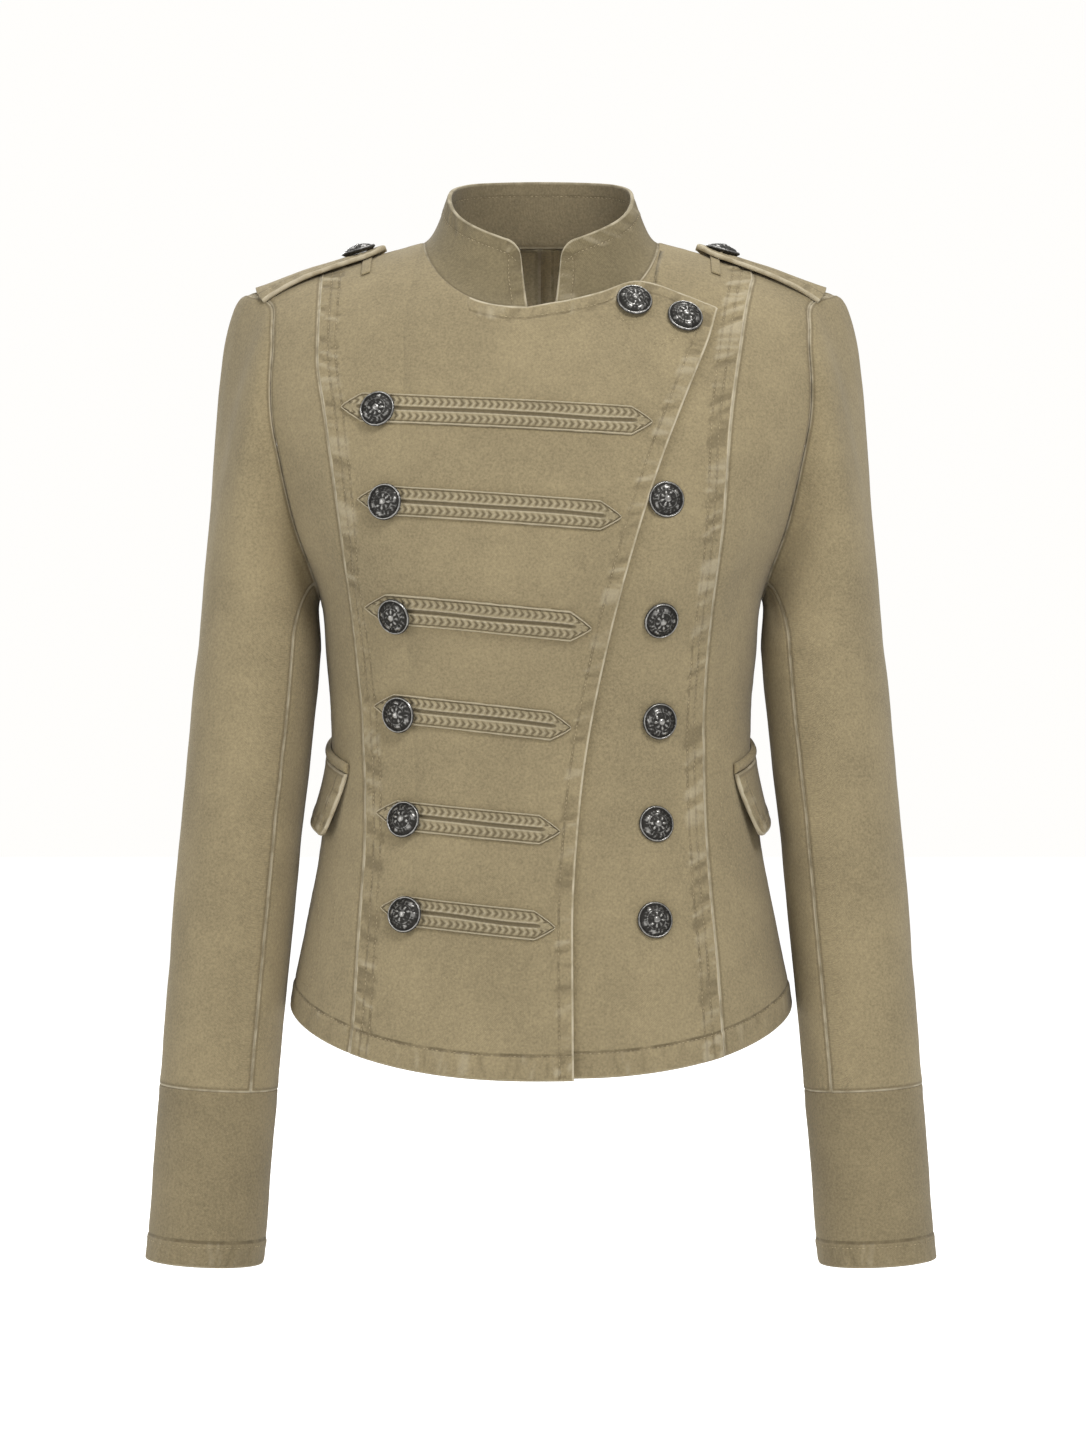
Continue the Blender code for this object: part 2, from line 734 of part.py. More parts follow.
def sleeve_tube():
    """All rings of the right sleeve from the armhole to the wrist."""
    loop = []
    for k in range(AROUND):
        if k <= AROUND // 2:
            turn, level = armhole(ARM_TURNS[k], False)
        else:
            turn, level = armhole(ARM_TURNS[AROUND - k], True)
        loop.append(spot(turn, level, -1))
    target = sleeve_ring(SLEEVE[0])
    rings = []
    for row in range(HEAD_ROWS + 1):
        t = row / HEAD_ROWS
        t = t * (HEAD_EVEN + (1 - HEAD_EVEN) * t)
        ring = []
        for k in range(AROUND):
            start = loop[k]
            end = target[k]
            a = 2 * math.pi * k / AROUND
            high = (1 - math.cos(a)) / 2
            fore = math.sin(a)
            leave = Vector((-0.96, -0.5 * fore, -0.12)) * (HEAD_LOW + (HEAD_HIGH - HEAD_LOW) * high)
            drop = start.z - end.z
            arrive = Vector((0.085 * high, 0.03 * fore, 1.0)) * (HEAD_HANG * drop)
            p1 = start + leave
            p2 = end + arrive
            ring.append(
                start * (1 - t) ** 3
                + p1 * (3 * t * (1 - t) ** 2)
                + p2 * (3 * t * t * (1 - t))
                + end * t**3
            )
        rings.append(ring)
    for row in SLEEVE[1:]:
        rings.append(sleeve_ring(row))
    return rings


def ring_normals(rings):
    """Outward directions of a tube of rings."""
    count = len(rings[0])
    normals = []
    for j, ring in enumerate(rings):
        line = []
        for k in range(count):
            around = ring[(k + 1) % count] - ring[(k - 1) % count]
            down = rings[min(len(rings) - 1, j + 1)][k] - rings[max(0, j - 1)][k]
            line.append(around.cross(down).normalized())
        normals.append(line)
    centre = sum(rings[-1], Vector()) / count
    if normals[-1][0].dot(rings[-1][0] - centre) < 0:
        normals = [[-n for n in line] for line in normals]
    return normals


def flip(points):
    return [[Vector((-p.x, p.y, p.z)) for p in row] for row in points]


def build_sleeves(collection, material):
    rings = sleeve_tube()
    normals = ring_normals(rings)
    inner_rings = []
    for ring, line in zip(rings, normals):
        inner_rings.append([p - n * CLOTH for p, n in zip(ring, line)])
    seam_row = HEAD_ROWS + CUFF_ROW
    pieces = (
        ("upper_sleeve", list(range(FRONT_SEAM, BACK_SEAM + 1))),
        ("under_sleeve", list(range(BACK_SEAM, AROUND + FRONT_SEAM + 1))),
    )
    for piece, columns in pieces:
        outer = [[ring[k % AROUND].copy() for k in columns] for ring in rings[: seam_row + 1]]
        inner = [[ring[k % AROUND].copy() for k in columns] for ring in inner_rings[: seam_row + 1]]
        pull_in(outer, inner, SEAM_GAP)
        cloth_wall(piece + "_right", outer, inner, material, collection)
        cloth_wall(piece + "_left", flip(outer), flip(inner), material, collection)
    cuff_outer = [[p.copy() for p in ring] for ring in rings[seam_row:]]
    cuff_inner = [[p.copy() for p in ring] for ring in inner_rings[seam_row:]]
    lower = Vector((0, 0, -2 * SEAM_GAP))
    cuff_outer[0] = [p + lower for p in cuff_outer[0]]
    cuff_inner[0] = [p + lower for p in cuff_inner[0]]
    cloth_tube("cuff_right", cuff_outer, cuff_inner, material, collection)
    cloth_tube("cuff_left", flip(cuff_outer), flip(cuff_inner), material, collection)


def collar_columns():
    """Foot point, top point and height share of each column of the collar, from its right
    end round the nape to its left end."""
    half = []
    front = neck_front_points(-1)[::-1]
    end_turn = math.acos(COLLAR_MOUTH / COLLAR_WIDE)
    for k, place in enumerate(front):
        share = (COLLAR_STEPS - k) / COLLAR_STEPS
        a = end_turn * share
        top = Vector((-COLLAR_WIDE * math.cos(a), COLLAR_MIDDLE - COLLAR_FRONT * math.sin(a), 0))
        half.append([spot(place[0], place[1], -1), top, 1.0])
    back = neck_back_points()
    for k, place in enumerate(back[1:]):
        a = math.pi / 2 * (k + 1) / 5
        top = Vector((-COLLAR_WIDE * math.cos(a), COLLAR_MIDDLE + COLLAR_BACK * math.sin(a), 0))
        half.append([spot(place[0], place[1], -1), top, 1.0])
    ends = []
    for share, cut in COLLAR_CORNER:
        foot = half[0][0].lerp(half[1][0], share)
        top = half[0][1].lerp(half[1][1], share)
        ends.append([foot, top, 1 - cut / COLLAR_HIGH])
    half = ends + half[1:]
    for column in half:
        column[1].z = smooth_row(COLLAR_TOP, 1, column[1].y)
    right = [(c[0], c[1], c[2], c[0].copy()) for c in half]
    left = []
    for foot, top, tall in half[-2::-1]:
        mirrored = Vector((-foot.x, foot.y, foot.z))
        left.append((mirrored, Vector((-top.x, top.y, top.z)), tall, mirrored.copy()))
    return right, left


def build_collar(collection, material):
    right, left = collar_columns()
    columns = []
    for foot, top, tall, _ in right:
        columns.append((foot, top, tall))
    for foot, top, tall, _ in left:
        drop = Vector((0, -sink(foot), -0.6 * abs(sink(foot)))) if foot.y < -SEAM_AHEAD else Vector()
        columns.append((foot + drop, top, tall))
    outer = []
    for share in COLLAR_TALL:
        row = []
        for foot, top, tall in columns:
            h = share * tall
            aside = abs(foot.x) / NECK_WIDE
            bend = COLLAR_LEAN - COLLAR_LEAN_SIDE * aside
            lean = h**bend if h > 0 else 0.0
            x = foot.x + (top.x - foot.x) * lean
            y = foot.y + (top.y - foot.y) * lean
            z = foot.z + (top.z - foot.z) * h
            row.append(Vector((x, y, z)))
        outer.append(row)
    inner = []
    for j, row in enumerate(outer):
        line = []
        for i, point in enumerate(row):
            along = row[min(len(row) - 1, i + 1)] - row[max(0, i - 1)]
            up = outer[min(len(outer) - 1, j + 1)][i] - outer[max(0, j - 1)][i]
            out = along.cross(up).normalized()
            if out.dot(point - Vector((0, COLLAR_MIDDLE, point.z))) < 0:
                out = -out
            line.append(point - out * COLLAR_CLOTH)
        inner.append(line)
    pull_in(outer, inner, 2 * SEAM_GAP, "low")
    cloth_wall("collar", outer, inner, material, collection)


def trim_wall(name, places, hand, base, heights, collection, material, tree):
    """A trim on the body: its underside base off the surface, its top by a table of heights."""
    outs = []
    inner = []
    for row in places:
        outs.append([normal_at(turn, level, hand) for turn, level in row])
        points = [spot(turn, level, hand) for turn, level in row]
        inner.append([p + out * base(p) for p, out in zip(points, outs[-1])])
    seat(inner, outs, tree, CLEAR)
    outer = []
    for line, out_row, high_row in zip(inner, outs, heights):
        outer.append([p + out * high for p, out, high in zip(line, out_row, high_row)])
    cloth_wall(name, outer, inner, material, collection)


def close_on(point):
    return CLEAR


def build_braids(collection, material):
    tree = facets(collection, ["front_right"])
    for number, (z0, x0, z1, x1) in enumerate(BRAIDS):
        length = math.hypot(x1 - x0, z1 - z0)
        marks = [0, 4, 9, BRAID_POINT]
        inner_length = length - 2 * BRAID_POINT
        for k in range(1, 9):
            marks.append(BRAID_POINT + inner_length * k / 8)
        marks += [length - 9, length - 4, length]
        places = []
        heights = []
        for across, high in BRAID_ACROSS:
            row = []
            for s in marks:
                near = min(s, length - s)
                half = 1.0 + (BRAID_HALF - 1.0) * min(1.0, near / BRAID_POINT) ** 0.8
                x = x0 + (x1 - x0) * s / length
                z = z0 + (z1 - z0) * s / length + across * half
                row.append(front_place(x, z, -1))
            places.append(row)
            heights.append([high] * len(marks))
        name = "braid_%d" % (number + 1)
        trim_wall(name, places, -1, close_on, heights, collection, material, tree)


def build_epaulette(side_name, hand, collection, material):
    count = 10
    places = []
    thick = []
    for q in (-1, -0.66, -0.33, 0, 0.33, 0.66, 1):
        row = []
        for k in range(count + 1):
            u = k / count
            outside = EPAULETTE_OUT - EPAULETTE_BOW * q * q
            x = outside + (EPAULETTE_IN - outside) * u
            narrow = EPAULETTE_HALF * (1 - 0.1 * u)
            if u > 0.8:
                narrow *= max(0.3, math.sqrt(1 - ((u - 0.8) / 0.2) ** 2))
            row.append(plan_place(x, q * narrow + 0.001, hand))
        places.append(row)
        thick.append([EPAULETTE_THICK] * (count + 1))

    under = ["front_" + side_name, "side_front_" + side_name, "back_" + side_name]
    tree = facets(collection, under)

    def rest(point):
        reach = (EPAULETTE_OUT - abs(point.x)) / (EPAULETTE_OUT - EPAULETTE_IN)
        return CLEAR + 1.7 * soft_step(reach / 0.5)

    trim_wall("epaulette_" + side_name, places, hand, rest, thick, collection, material, tree)
    places = []
    thick = []
    for x in (KEEPER_AT - KEEPER_HALF, KEEPER_AT + KEEPER_HALF):
        places.append([plan_place(x, y + 0.001, hand) for y in (-37, -30, -22, -14, -7, 0, 7, 14)])
        thick.append([KEEPER_THICK] * 8)
    trim_wall("keeper_" + side_name, places, hand, close_on, thick, collection, material, tree)


def build_pocket(side_name, hand, collection, material):
    count = 12
    tree = facets(collection, ["side_front_" + side_name, "back_" + side_name])
    places = []
    heights = []
    for q in (-1, -0.7, 0, 0.7, 1):
        row = []
        for k in range(count + 1):
            turn, z = mix(POCKET_FRONT, POCKET_REAR, k / count)
            row.append((turn, z + q * WELT_HALF - BUST))
        places.append(row)
        heights.append([0.9 + (WELT_HIGH - 0.9) * math.sqrt(1 - q * q)] * (count + 1))
    trim_wall("welt_" + side_name, places, hand, close_on, heights, collection, material, tree)
    length = FLAP_WIDE
    shares = [0, 2 / length, 5 / length]
    shares += [0.05 + 0.9 * k / 8 for k in range(1, 8)]
    shares += [1 - 5 / length, 1 - 2 / length, 1]
    outs = []
    inner = []
    for q in (0, 0.2, 0.45, 0.75, 1):
        out_row = []
        in_row = []
        for share in shares:
            near = min(share, 1 - share) * length
            cut = 0.0
            if near < FLAP_CORNER:
                cut = FLAP_CORNER - math.sqrt(FLAP_CORNER**2 - (FLAP_CORNER - near) ** 2)
            down = q * (FLAP_LONG - 0.8 * cut)
            turn, z = mix(POCKET_FRONT, POCKET_REAR, share)
            turn += FLAP_SHIFT * down / FLAP_LONG
            level = z - WELT_HALF - 0.5 - down - BUST
            out = normal_at(turn, level, hand)
            start = spot(turn, level, hand) + out * (CLEAR + 0.5 + FLAP_STAND * q**1.3)
            in_row.append(start)
            out_row.append(out)
        outs.append(out_row)
        inner.append(in_row)
    seat(inner, outs, tree, CLEAR)
    outer = []
    for line, out_row in zip(inner, outs):
        outer.append([p + out * FLAP_THICK for p, out in zip(line, out_row)])
    cloth_wall("flap_" + side_name, outer, inner, material, collection)


def build_button(name, point, out, collection, material):
    """A domed button turned about its axis, its flat back resting near a surface point."""
    bm = bmesh.new()
    verts = [bm.verts.new((r * MM, 0, h * MM)) for r, h in BUTTON_SHAPE]
    edges = [bm.edges.new((a, b)) for a, b in zip(verts, verts[1:])]
    bmesh.ops.spin(
        bm,
        geom=verts + edges,
        cent=(0, 0, 0),
        axis=(0, 0, 1),
        angle=2 * math.pi,
        steps=14,
        use_merge=True,
        use_duplicate=False,
    )
    bmesh.ops.remove_doubles(bm, verts=bm.verts[:], dist=0.000001)
    turned = Vector((0, 0, 1)).rotation_difference(out).to_matrix()
    for vert in bm.verts:
        vert.co = turned @ vert.co + point * MM
    finish_mesh(name, bm, material, collection)


def rest_button(name, start, out, tree, collection, material):
    """Moves a button along its own direction until its flat back just clears what is under it."""
    aside = out.cross(Vector((0, 0, 1))).normalized()
    above = aside.cross(out)
    highest = -100.0
    for radius in (0.0, 5.0, 9.4):
        for k in range(14):
            a = 2 * math.pi * k / 14
            probe = start + (aside * math.cos(a) + above * math.sin(a)) * radius
            over = height_over(tree, probe, out)
            if over is not None:
                highest = max(highest, -over)
    build_button(name, start + out * (highest + CLEAR + 0.1), out, collection, material)


def build_buttons(collection, material):
    braids = ["braid_%d" % (k + 1) for k in range(len(BRAIDS))]
    right = facets(collection, ["front_right"] + braids)
    left = facets(collection, ["front_left"])
    jobs = []
    for k, (x, z) in enumerate(BUTTONS_ON_BRAID):
        jobs.append(("button_right_%d" % (k + 1), x, z, -1, right))
    for k, (x, z) in enumerate(BUTTONS_LEFT):
        jobs.append(("button_left_%d" % (k + 1), x, z, 1, left))
    for k, (x, z) in enumerate(BUTTONS_CORNER):
        jobs.append(("button_corner_%d" % (k + 1), x, z, -1, right))
    for name, x, z, hand, tree in jobs:
        turn, level = front_place(x, z, hand)
        start = spot(turn, level, hand)
        rest_button(name, start, normal_at(turn, level, hand), tree, collection, material)
    for side_name, hand in (("right", -1), ("left", 1)):
        turn, level = plan_place(EPAULETTE_BUTTON, -4.0, hand)
        tree = facets(collection, ["epaulette_" + side_name])
        start = spot(turn, level, hand)
        out = normal_at(turn, level, hand)
        rest_button("button_shoulder_" + side_name, start, out, tree, collection, material)


def main():
    for thing in list(bpy.data.objects):
        bpy.data.objects.remove(thing, do_unlink=True)
    collection = bpy.data.collections.new(JACKET)
    bpy.context.scene.collection.children.link(collection)
    cloth = make_material("cloth", CLOTH_COLOUR, 0.9, 0.0)
    trim = make_material("trim", TRIM_COLOUR, 0.9, 0.0)
    metal = make_material("button_metal", BUTTON_COLOUR, 0.45, 1.0)
    build_right_front(collection, cloth)
    build_left_front(collection, cloth)
    build_side_front(
        "side_front_right", -1, SEAM_RIGHT, HEM_RIGHT_SEAM, no_shift, collection, cloth
    )
    build_side_front("side_front_left", 1, SEAM_LEFT, HEM_LEFT_SEAM, sink, collection, cloth)
    build_back("back_right", -1, collection, cloth)
    build_back("back_left", 1, collection, cloth)
    build_sleeves(collection, cloth)
    build_collar(collection, cloth)
    build_braids(collection, trim)
    for side_name, hand in (("right", -1), ("left", 1)):
        build_epaulette(side_name, hand, collection, trim)
        build_pocket(side_name, hand, collection, trim)
    build_buttons(collection, metal)


main()
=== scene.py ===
import json
import math

import bpy
import numpy as np
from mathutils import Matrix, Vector

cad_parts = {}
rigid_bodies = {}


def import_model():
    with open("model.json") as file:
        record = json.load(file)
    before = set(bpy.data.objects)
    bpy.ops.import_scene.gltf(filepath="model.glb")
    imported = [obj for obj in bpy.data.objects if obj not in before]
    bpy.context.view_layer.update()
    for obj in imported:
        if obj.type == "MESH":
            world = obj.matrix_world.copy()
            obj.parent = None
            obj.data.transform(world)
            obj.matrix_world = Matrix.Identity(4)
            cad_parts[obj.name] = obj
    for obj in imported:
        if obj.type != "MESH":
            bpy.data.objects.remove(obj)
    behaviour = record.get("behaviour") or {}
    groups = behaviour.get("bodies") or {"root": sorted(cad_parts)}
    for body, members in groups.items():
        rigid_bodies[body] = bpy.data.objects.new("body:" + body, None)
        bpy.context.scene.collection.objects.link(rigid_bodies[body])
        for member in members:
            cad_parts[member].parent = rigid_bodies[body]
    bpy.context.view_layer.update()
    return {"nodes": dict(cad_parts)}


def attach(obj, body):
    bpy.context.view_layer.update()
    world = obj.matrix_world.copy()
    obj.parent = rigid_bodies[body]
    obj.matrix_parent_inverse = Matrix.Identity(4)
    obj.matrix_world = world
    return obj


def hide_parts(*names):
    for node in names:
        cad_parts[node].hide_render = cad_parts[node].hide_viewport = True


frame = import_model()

mm = 0.001

# The jacket is worked out in millimetres, +Z up, the wearer facing -Y. A place on the body is a
# turn (0 at the side seam, a quarter turn at the front middle) and a level along the cloth.

body = {
    "bust": -230.0,
    "underarm": -2.0,
    "neckWide": 76.5,
    "neckFront": 71.7,
    "neckBack": 48.0,
    "neckPower": 1.3,
    "neckStop": 8.2,
    "seamAhead": 8.0,
    "shoulderEnd": 187.0,
    "shoulderDrop": 0.33,
    "shoulderSoft": 60.0,
    "frontRoll": 1.9,
    "backRoll": 2.3,
    "cloth": 1.6,
    "seamGap": 0.04,
    # level, half width, front depth, back depth, squareness
    "sections": (
        (-320, 166, 121, 120, 2.3), (-262, 162, 118, 116, 2.3), (-210, 152, 112, 108, 2.3),
        (-158, 142.5, 104, 98, 2.28), (-93, 136, 97, 90, 2.25), (-67, 136.8, 99, 90, 2.25),
        (-41, 139.2, 107, 94, 2.3), (0, 143.5, 121, 102, 2.35), (45, 162.7, 124, 106, 2.4),
        (88, 177.7, 124, 108, 2.4), (121, 187.7, 124, 108, 2.4), (173, 194.6, 124, 108, 2.4),
        (240, 198, 125, 108, 2.4), (400, 198, 125, 108, 2.4),
    ),
    # height, sideways
    "seamRight": (
        (-26.8, 141.6), (-77.4, 142), (-120.5, 136), (-175.7, 128.1), (-230.6, 121.2),
        (-298.7, 114.3), (-374.7, 111.3), (-448.6, 115.1), (-501, 118.2), (-519, 120),
    ),
    "seamLeft": (
        (-26.5, 136.4), (-72.1, 126.6), (-121.2, 119.4), (-188.7, 114), (-247.3, 107),
        (-310.2, 103.2), (-368.3, 103.6), (-420.3, 107), (-460.9, 110.7), (-521, 115),
    ),
    "crossEdge": (
        (-48.4, 112.4), (-69.6, 106.1), (-102.7, 92.8), (-151.4, 74.2), (-190.4, 61.6),
        (-224.6, 51.8), (-272.8, 40), (-330.9, 28.8), (-382, 23), (-440.8, 20), (-535.5, 20.5),
    ),
    # sideways, height
    "crossTop": (
        (-8.2, -49.3), (14, -46.4), (37.3, -40.2), (61, -32.2),
        (78, -35.4), (95, -41), (112.4, -48.4),
    ),
    "crossWide": 120.6,
    "crossSink": 3.0,
    "crossBlend": 22.0,
    "crossLift": 1.6,
    # sideways places of the hem's ends
    "hemRight": -120.0,
    "hemRightWide": 140.5,
    "underReach": -24.0,
    "hemLeftWide": 139.0,
    "hemSide": -493.0,
    "hemDip": 41.5,
    "hemBackDip": 6.0,
    "armMiddle": -134.0,
    "armHalf": 98.0,
    "armFront": 46.0,
    "armBack": 44.0,
    # share of the rise, degrees round the armhole
    "armTurns": (
        (0, 0), (0.03, 8), (0.06, 16), (0.1, 26), (0.2, 48), (0.33, 70),
        (0.48, 92), (0.63, 114), (0.78, 136), (0.9, 158), (1, 180),
    ),
}


def smoothRow(rows, column, at):
    table = np.array(sorted(rows), float)
    marks = table[:, 0]
    values = table[:, column]
    rate = np.diff(values) / np.diff(marks)
    slope = np.empty(len(marks))
    slope[0] = rate[0]
    slope[-1] = rate[-1]
    slope[1:-1] = np.where(rate[:-1] * rate[1:] < 0, 0.0, (rate[:-1] + rate[1:]) / 2)
    at = np.clip(np.asarray(at, float), marks[0], marks[-1])
    k = np.clip(np.searchsorted(marks, at, side="right") - 1, 0, len(marks) - 2)
    step = marks[k + 1] - marks[k]
    t = (at - marks[k]) / step
    return (
        (2 * t**3 - 3 * t**2 + 1) * values[k] + (t**3 - 2 * t**2 + t) * slope[k] * step
        + (-2 * t**3 + 3 * t**2) * values[k + 1] + (t**3 - t**2) * slope[k + 1] * step
    )


def softStep(t):
    t = np.clip(t, 0.0, 1.0)
    return t * t * (3 - 2 * t)


def ridge(x):
    soft = body["shoulderSoft"]
    return -body["shoulderDrop"] * (np.hypot(x, soft) - math.hypot(body["neckWide"], soft))


def levelOf(x, z):
    rise = ridge(x) - body["bust"]
    up = np.asarray(z, float) - body["bust"]
    return np.where(up <= 0, up, rise * np.arcsin(np.clip(up / rise, 0, 1)))


def section(level):
    return [smoothRow(body["sections"], column, level) for column in (1, 2, 3, 4)]


def spot(turn, level, hand):
    turn, level = np.broadcast_arrays(np.asarray(turn, float), np.asarray(level, float))
    half, front, back, square = section(level)
    c = np.cos(turn)
    s = np.sin(turn)
    x = half * np.sign(c) * np.abs(c) ** (2 / square)
    rise = ridge(x) - body["bust"]
    roll = np.maximum(0.0, level) / rise
    over = roll > math.pi / 2
    ahead = (s > 0) ^ over
    roll = np.clip(np.where(over, math.pi - roll, roll), 0, math.pi / 2)
    power = np.where(ahead, body["frontRoll"], body["backRoll"])
    close = np.maximum(0.0, 1 - np.sin(roll) ** power) ** (1 / power)
    y = np.where(ahead, front, back) * np.abs(s) ** (2 / square) * close
    z = body["bust"] + np.where(level < 0, level, rise * np.sin(roll))
    return np.stack([hand * x, np.where(ahead, -y, y), z], -1)


def unit(vectors):
    return vectors / np.maximum(1e-9, np.linalg.norm(vectors, axis=-1, keepdims=True))


def normalAt(turn, level, hand):
    across = spot(turn + 0.02, level, hand) - spot(turn - 0.02, level, hand)
    up = spot(turn, level + 1.5, hand) - spot(turn, level - 1.5, hand)
    return unit(np.cross(across, up) if hand < 0 else np.cross(up, across))


def turnOf(x, level):
    half, _, _, square = section(level)
    turn = np.arccos(np.clip(np.abs(x) / half, 0, 1) ** (square / 2))
    return np.where(np.asarray(x) >= 0, turn, math.pi - turn)


def frontPlace(x, z, hand):
    level = levelOf(x, z)
    return np.stack([turnOf(hand * np.asarray(x, float), level), level + 0.0 * np.asarray(x)], -1)


def planPlace(x, y, behind=False):
    x, y = np.broadcast_arrays(np.abs(np.asarray(x, float)), np.asarray(y, float))
    rise = ridge(x) - body["bust"]
    level = rise * math.pi / 2
    ahead = y < 0
    power = np.where(ahead, body["frontRoll"], body["backRoll"])
    for again in range(4):
        half, front, back, square = section(level)
        deep = np.where(ahead, front, back)
        full = deep * np.maximum(1e-6, 1 - np.minimum(1, x / half) ** square) ** (1 / square)
        close = np.minimum(1.0, np.abs(y) / full)
        level = rise * np.arcsin(np.clip((1 - close**power) ** (1 / power), 0, 1))
    turn = turnOf(x, level)
    if behind:
        return np.stack([-turn, np.where(ahead, rise * math.pi - level, level)], -1)
    return np.stack([turn, np.where(ahead, level, rise * math.pi - level)], -1)


def sidePlace(y, z):
    y, z = np.broadcast_arrays(np.asarray(y, float), np.asarray(z, float))
    x = np.full(y.shape, 165.0)
    ahead = y < 0
    power = np.where(ahead, body["frontRoll"], body["backRoll"])
    for again in range(8):
        rise = ridge(x) - body["bust"]
        level = levelOf(x, z)
        half, front, back, square = section(level)
        lift = np.clip((z - body["bust"]) / rise, 0, 1)
        close = np.maximum(1e-6, 1 - lift**power) ** (1 / power)
        full = np.minimum(1.0, np.abs(y) / (np.where(ahead, front, back) * close))
        x = half * (1 - full**square) ** (1 / square)
    turn = np.arccos(np.clip(x / half, 0, 1) ** (square / 2))
    return np.stack([np.where(ahead, turn, -turn), level], -1)


def hemPlace(turn):
    turn = np.asarray(turn, float)
    s = np.abs(np.sin(turn))
    drop = np.where(turn >= 0, body["hemDip"] * s**1.35, body["hemBackDip"] * s)
    return np.stack([turn, body["hemSide"] - body["bust"] - drop], -1)


# How the rows of every panel are spread: near the hem in millimetres, then in even shares.
nearHem = np.array((0, 0.7, 1.8, 3.4, 5.5, 8, 10.5, 12.6, 14, 15, 16, 17, 18.6, 21, 24.0))
rowsBelow = 100
rowsAbove = 148
riseShares = np.linspace(0, 1, rowsAbove + 1)[1:]


def rowLevels(hem, bustLevel, top):
    start = hem + nearHem[-1]
    middle = start + (bustLevel - start) * np.linspace(0, 1, rowsBelow + 1)[1:]
    return np.concatenate([hem + nearHem, middle, bustLevel + (top - bustLevel) * riseShares])


def seamPlaces(rows, hemLevel, topPlace):
    marks = [(float(levelOf(aside, height)), aside) for height, aside in rows]
    levels = rowLevels(hemLevel, 0.0, topPlace[1])
    places = np.stack([turnOf(smoothRow(marks, 1, levels), levels), levels], -1)
    away = places[-1] - topPlace
    fade = softStep((np.arange(len(levels)) - len(levels) + 13) / 12)[:, None]
    return places - away * fade


def armholeMarks(behind):
    degrees = np.array([row[1] for row in body["armTurns"]], float)
    a = np.radians(degrees)
    ahead = body["seamAhead"] * (1 - np.cos(a)) / 2
    z = body["armMiddle"] - body["armHalf"] * np.cos(a)
    y = -ahead + (body["armBack"] if behind else -body["armFront"]) * np.sin(a)
    place = sidePlace(y, z)
    if behind:
        half = section(place[:, 1])[0]
        over = (ridge(half * 0.94) - body["bust"]) * math.pi - place[:, 1]
        forward = place[:, 0] > 0
        place[:, 1] = np.where(forward, over, place[:, 1])
        place[:, 0] = np.where(forward, -place[:, 0], place[:, 0])
    place[0] = (0.0, body["underarm"])
    place[-1] = planPlace(body["shoulderEnd"], -body["seamAhead"], behind)
    return [(n, turn, level) for n, (turn, level) in enumerate(place.tolist())]


def armhole(k, behind):
    # k runs from 0 at the underarm to 10 at the shoulder seam
    rows = armholeMarks(behind)
    return np.stack([smoothRow(rows, 1, k), smoothRow(rows, 2, k)], -1)


def sidePlaces(behind):
    hemLevel = float(hemPlace(0.0)[1])
    levels = rowLevels(hemLevel, body["underarm"], 100.0)[: len(nearHem) + rowsBelow]
    lower = np.stack([np.zeros(len(levels)), levels], -1)
    shares = [(row[0], n) for n, row in enumerate(body["armTurns"])]
    return np.concatenate([lower, armhole(smoothRow(shares, 1, riseShares), behind)])


def patch(first, last, low, high, across, up):
    u = across[None, :, None]
    v = up[:, None, None]
    side = first[:, None] * (1 - u) + last[:, None] * u
    lowSide = first[0] * (1 - across[:, None]) + last[0] * across[:, None]
    highSide = first[-1] * (1 - across[:, None]) + last[-1] * across[:, None]
    return side + (1 - v) * (low - lowSide)[None] + v * (high - highSide)[None]


def steadyShares(high, hand):
    # Shares along a top edge that never turn back, so no column of the cloth folds.
    steps = np.diff(spot(high[:, 0], high[:, 1], hand), axis=0)
    steps = np.maximum(np.abs(steps[:, 0]), 0.4 * np.linalg.norm(steps, axis=1))
    shares = np.concatenate([[0], np.cumsum(steps)])
    return shares / shares[-1]


def upShares(curve):
    return (curve[:, 1] - curve[0, 1]) / (curve[-1, 1] - curve[0, 1])


# Distances of the closest columns from a sewn edge, then an even pitch.
nearEdge = (0, 0.5, 1.1, 1.9, 3.0, 4.3, 5.8, 7.2, 8.2, 9.2, 10.4, 11.8, 12.8, 13.8, 15.2, 17.5)


def spaced(total, pitch, denseFirst=True, denseLast=True):
    start = list(nearEdge) if denseFirst else [0.0]
    end = [total - d for d in nearEdge][::-1] if denseLast else [total]
    room = end[0] - start[-1]
    count = max(1, int(round(room / pitch)))
    middle = [start[-1] + room * k / count for k in range(1, count)]
    return np.array(start + middle + end) / total


def crossEdgeAt(z):
    return smoothRow(body["crossEdge"], 1, z)


def crossTopAt(x):
    return smoothRow(body["crossTop"], 1, x)


def sink(points):
    beside = points[..., 0] - crossEdgeAt(points[..., 2])
    above = points[..., 2] - crossTopAt(points[..., 0])
    return -body["crossSink"] * (1 - softStep(np.maximum(beside, above) / body["crossBlend"]))


def liftOff(points):
    x = points[..., 0]
    beside = softStep((x + 6) / 14) * softStep((90 - x) / 20)
    near = 1 - softStep((crossTopAt(x) - points[..., 2]) / 24)
    return body["crossLift"] * beside * near


def noShift(points):
    return np.zeros(points.shape[:-1])


def neckFront(share):
    power = body["neckPower"]
    stop = math.acos((body["neckStop"] / body["neckWide"]) ** power)
    a = stop * np.asarray(share, float)
    x = body["neckWide"] * np.cos(a) ** (1 / power)
    y = -body["seamAhead"] - body["neckFront"] * np.sin(a) ** (1 / power)
    return planPlace(x, y)


def neckBack(share):
    a = math.pi / 2 * np.asarray(share, float)
    x = body["neckWide"] * np.cos(a)
    y = -body["seamAhead"] + body["neckBack"] * np.sin(a)
    return planPlace(x, y, behind=True)


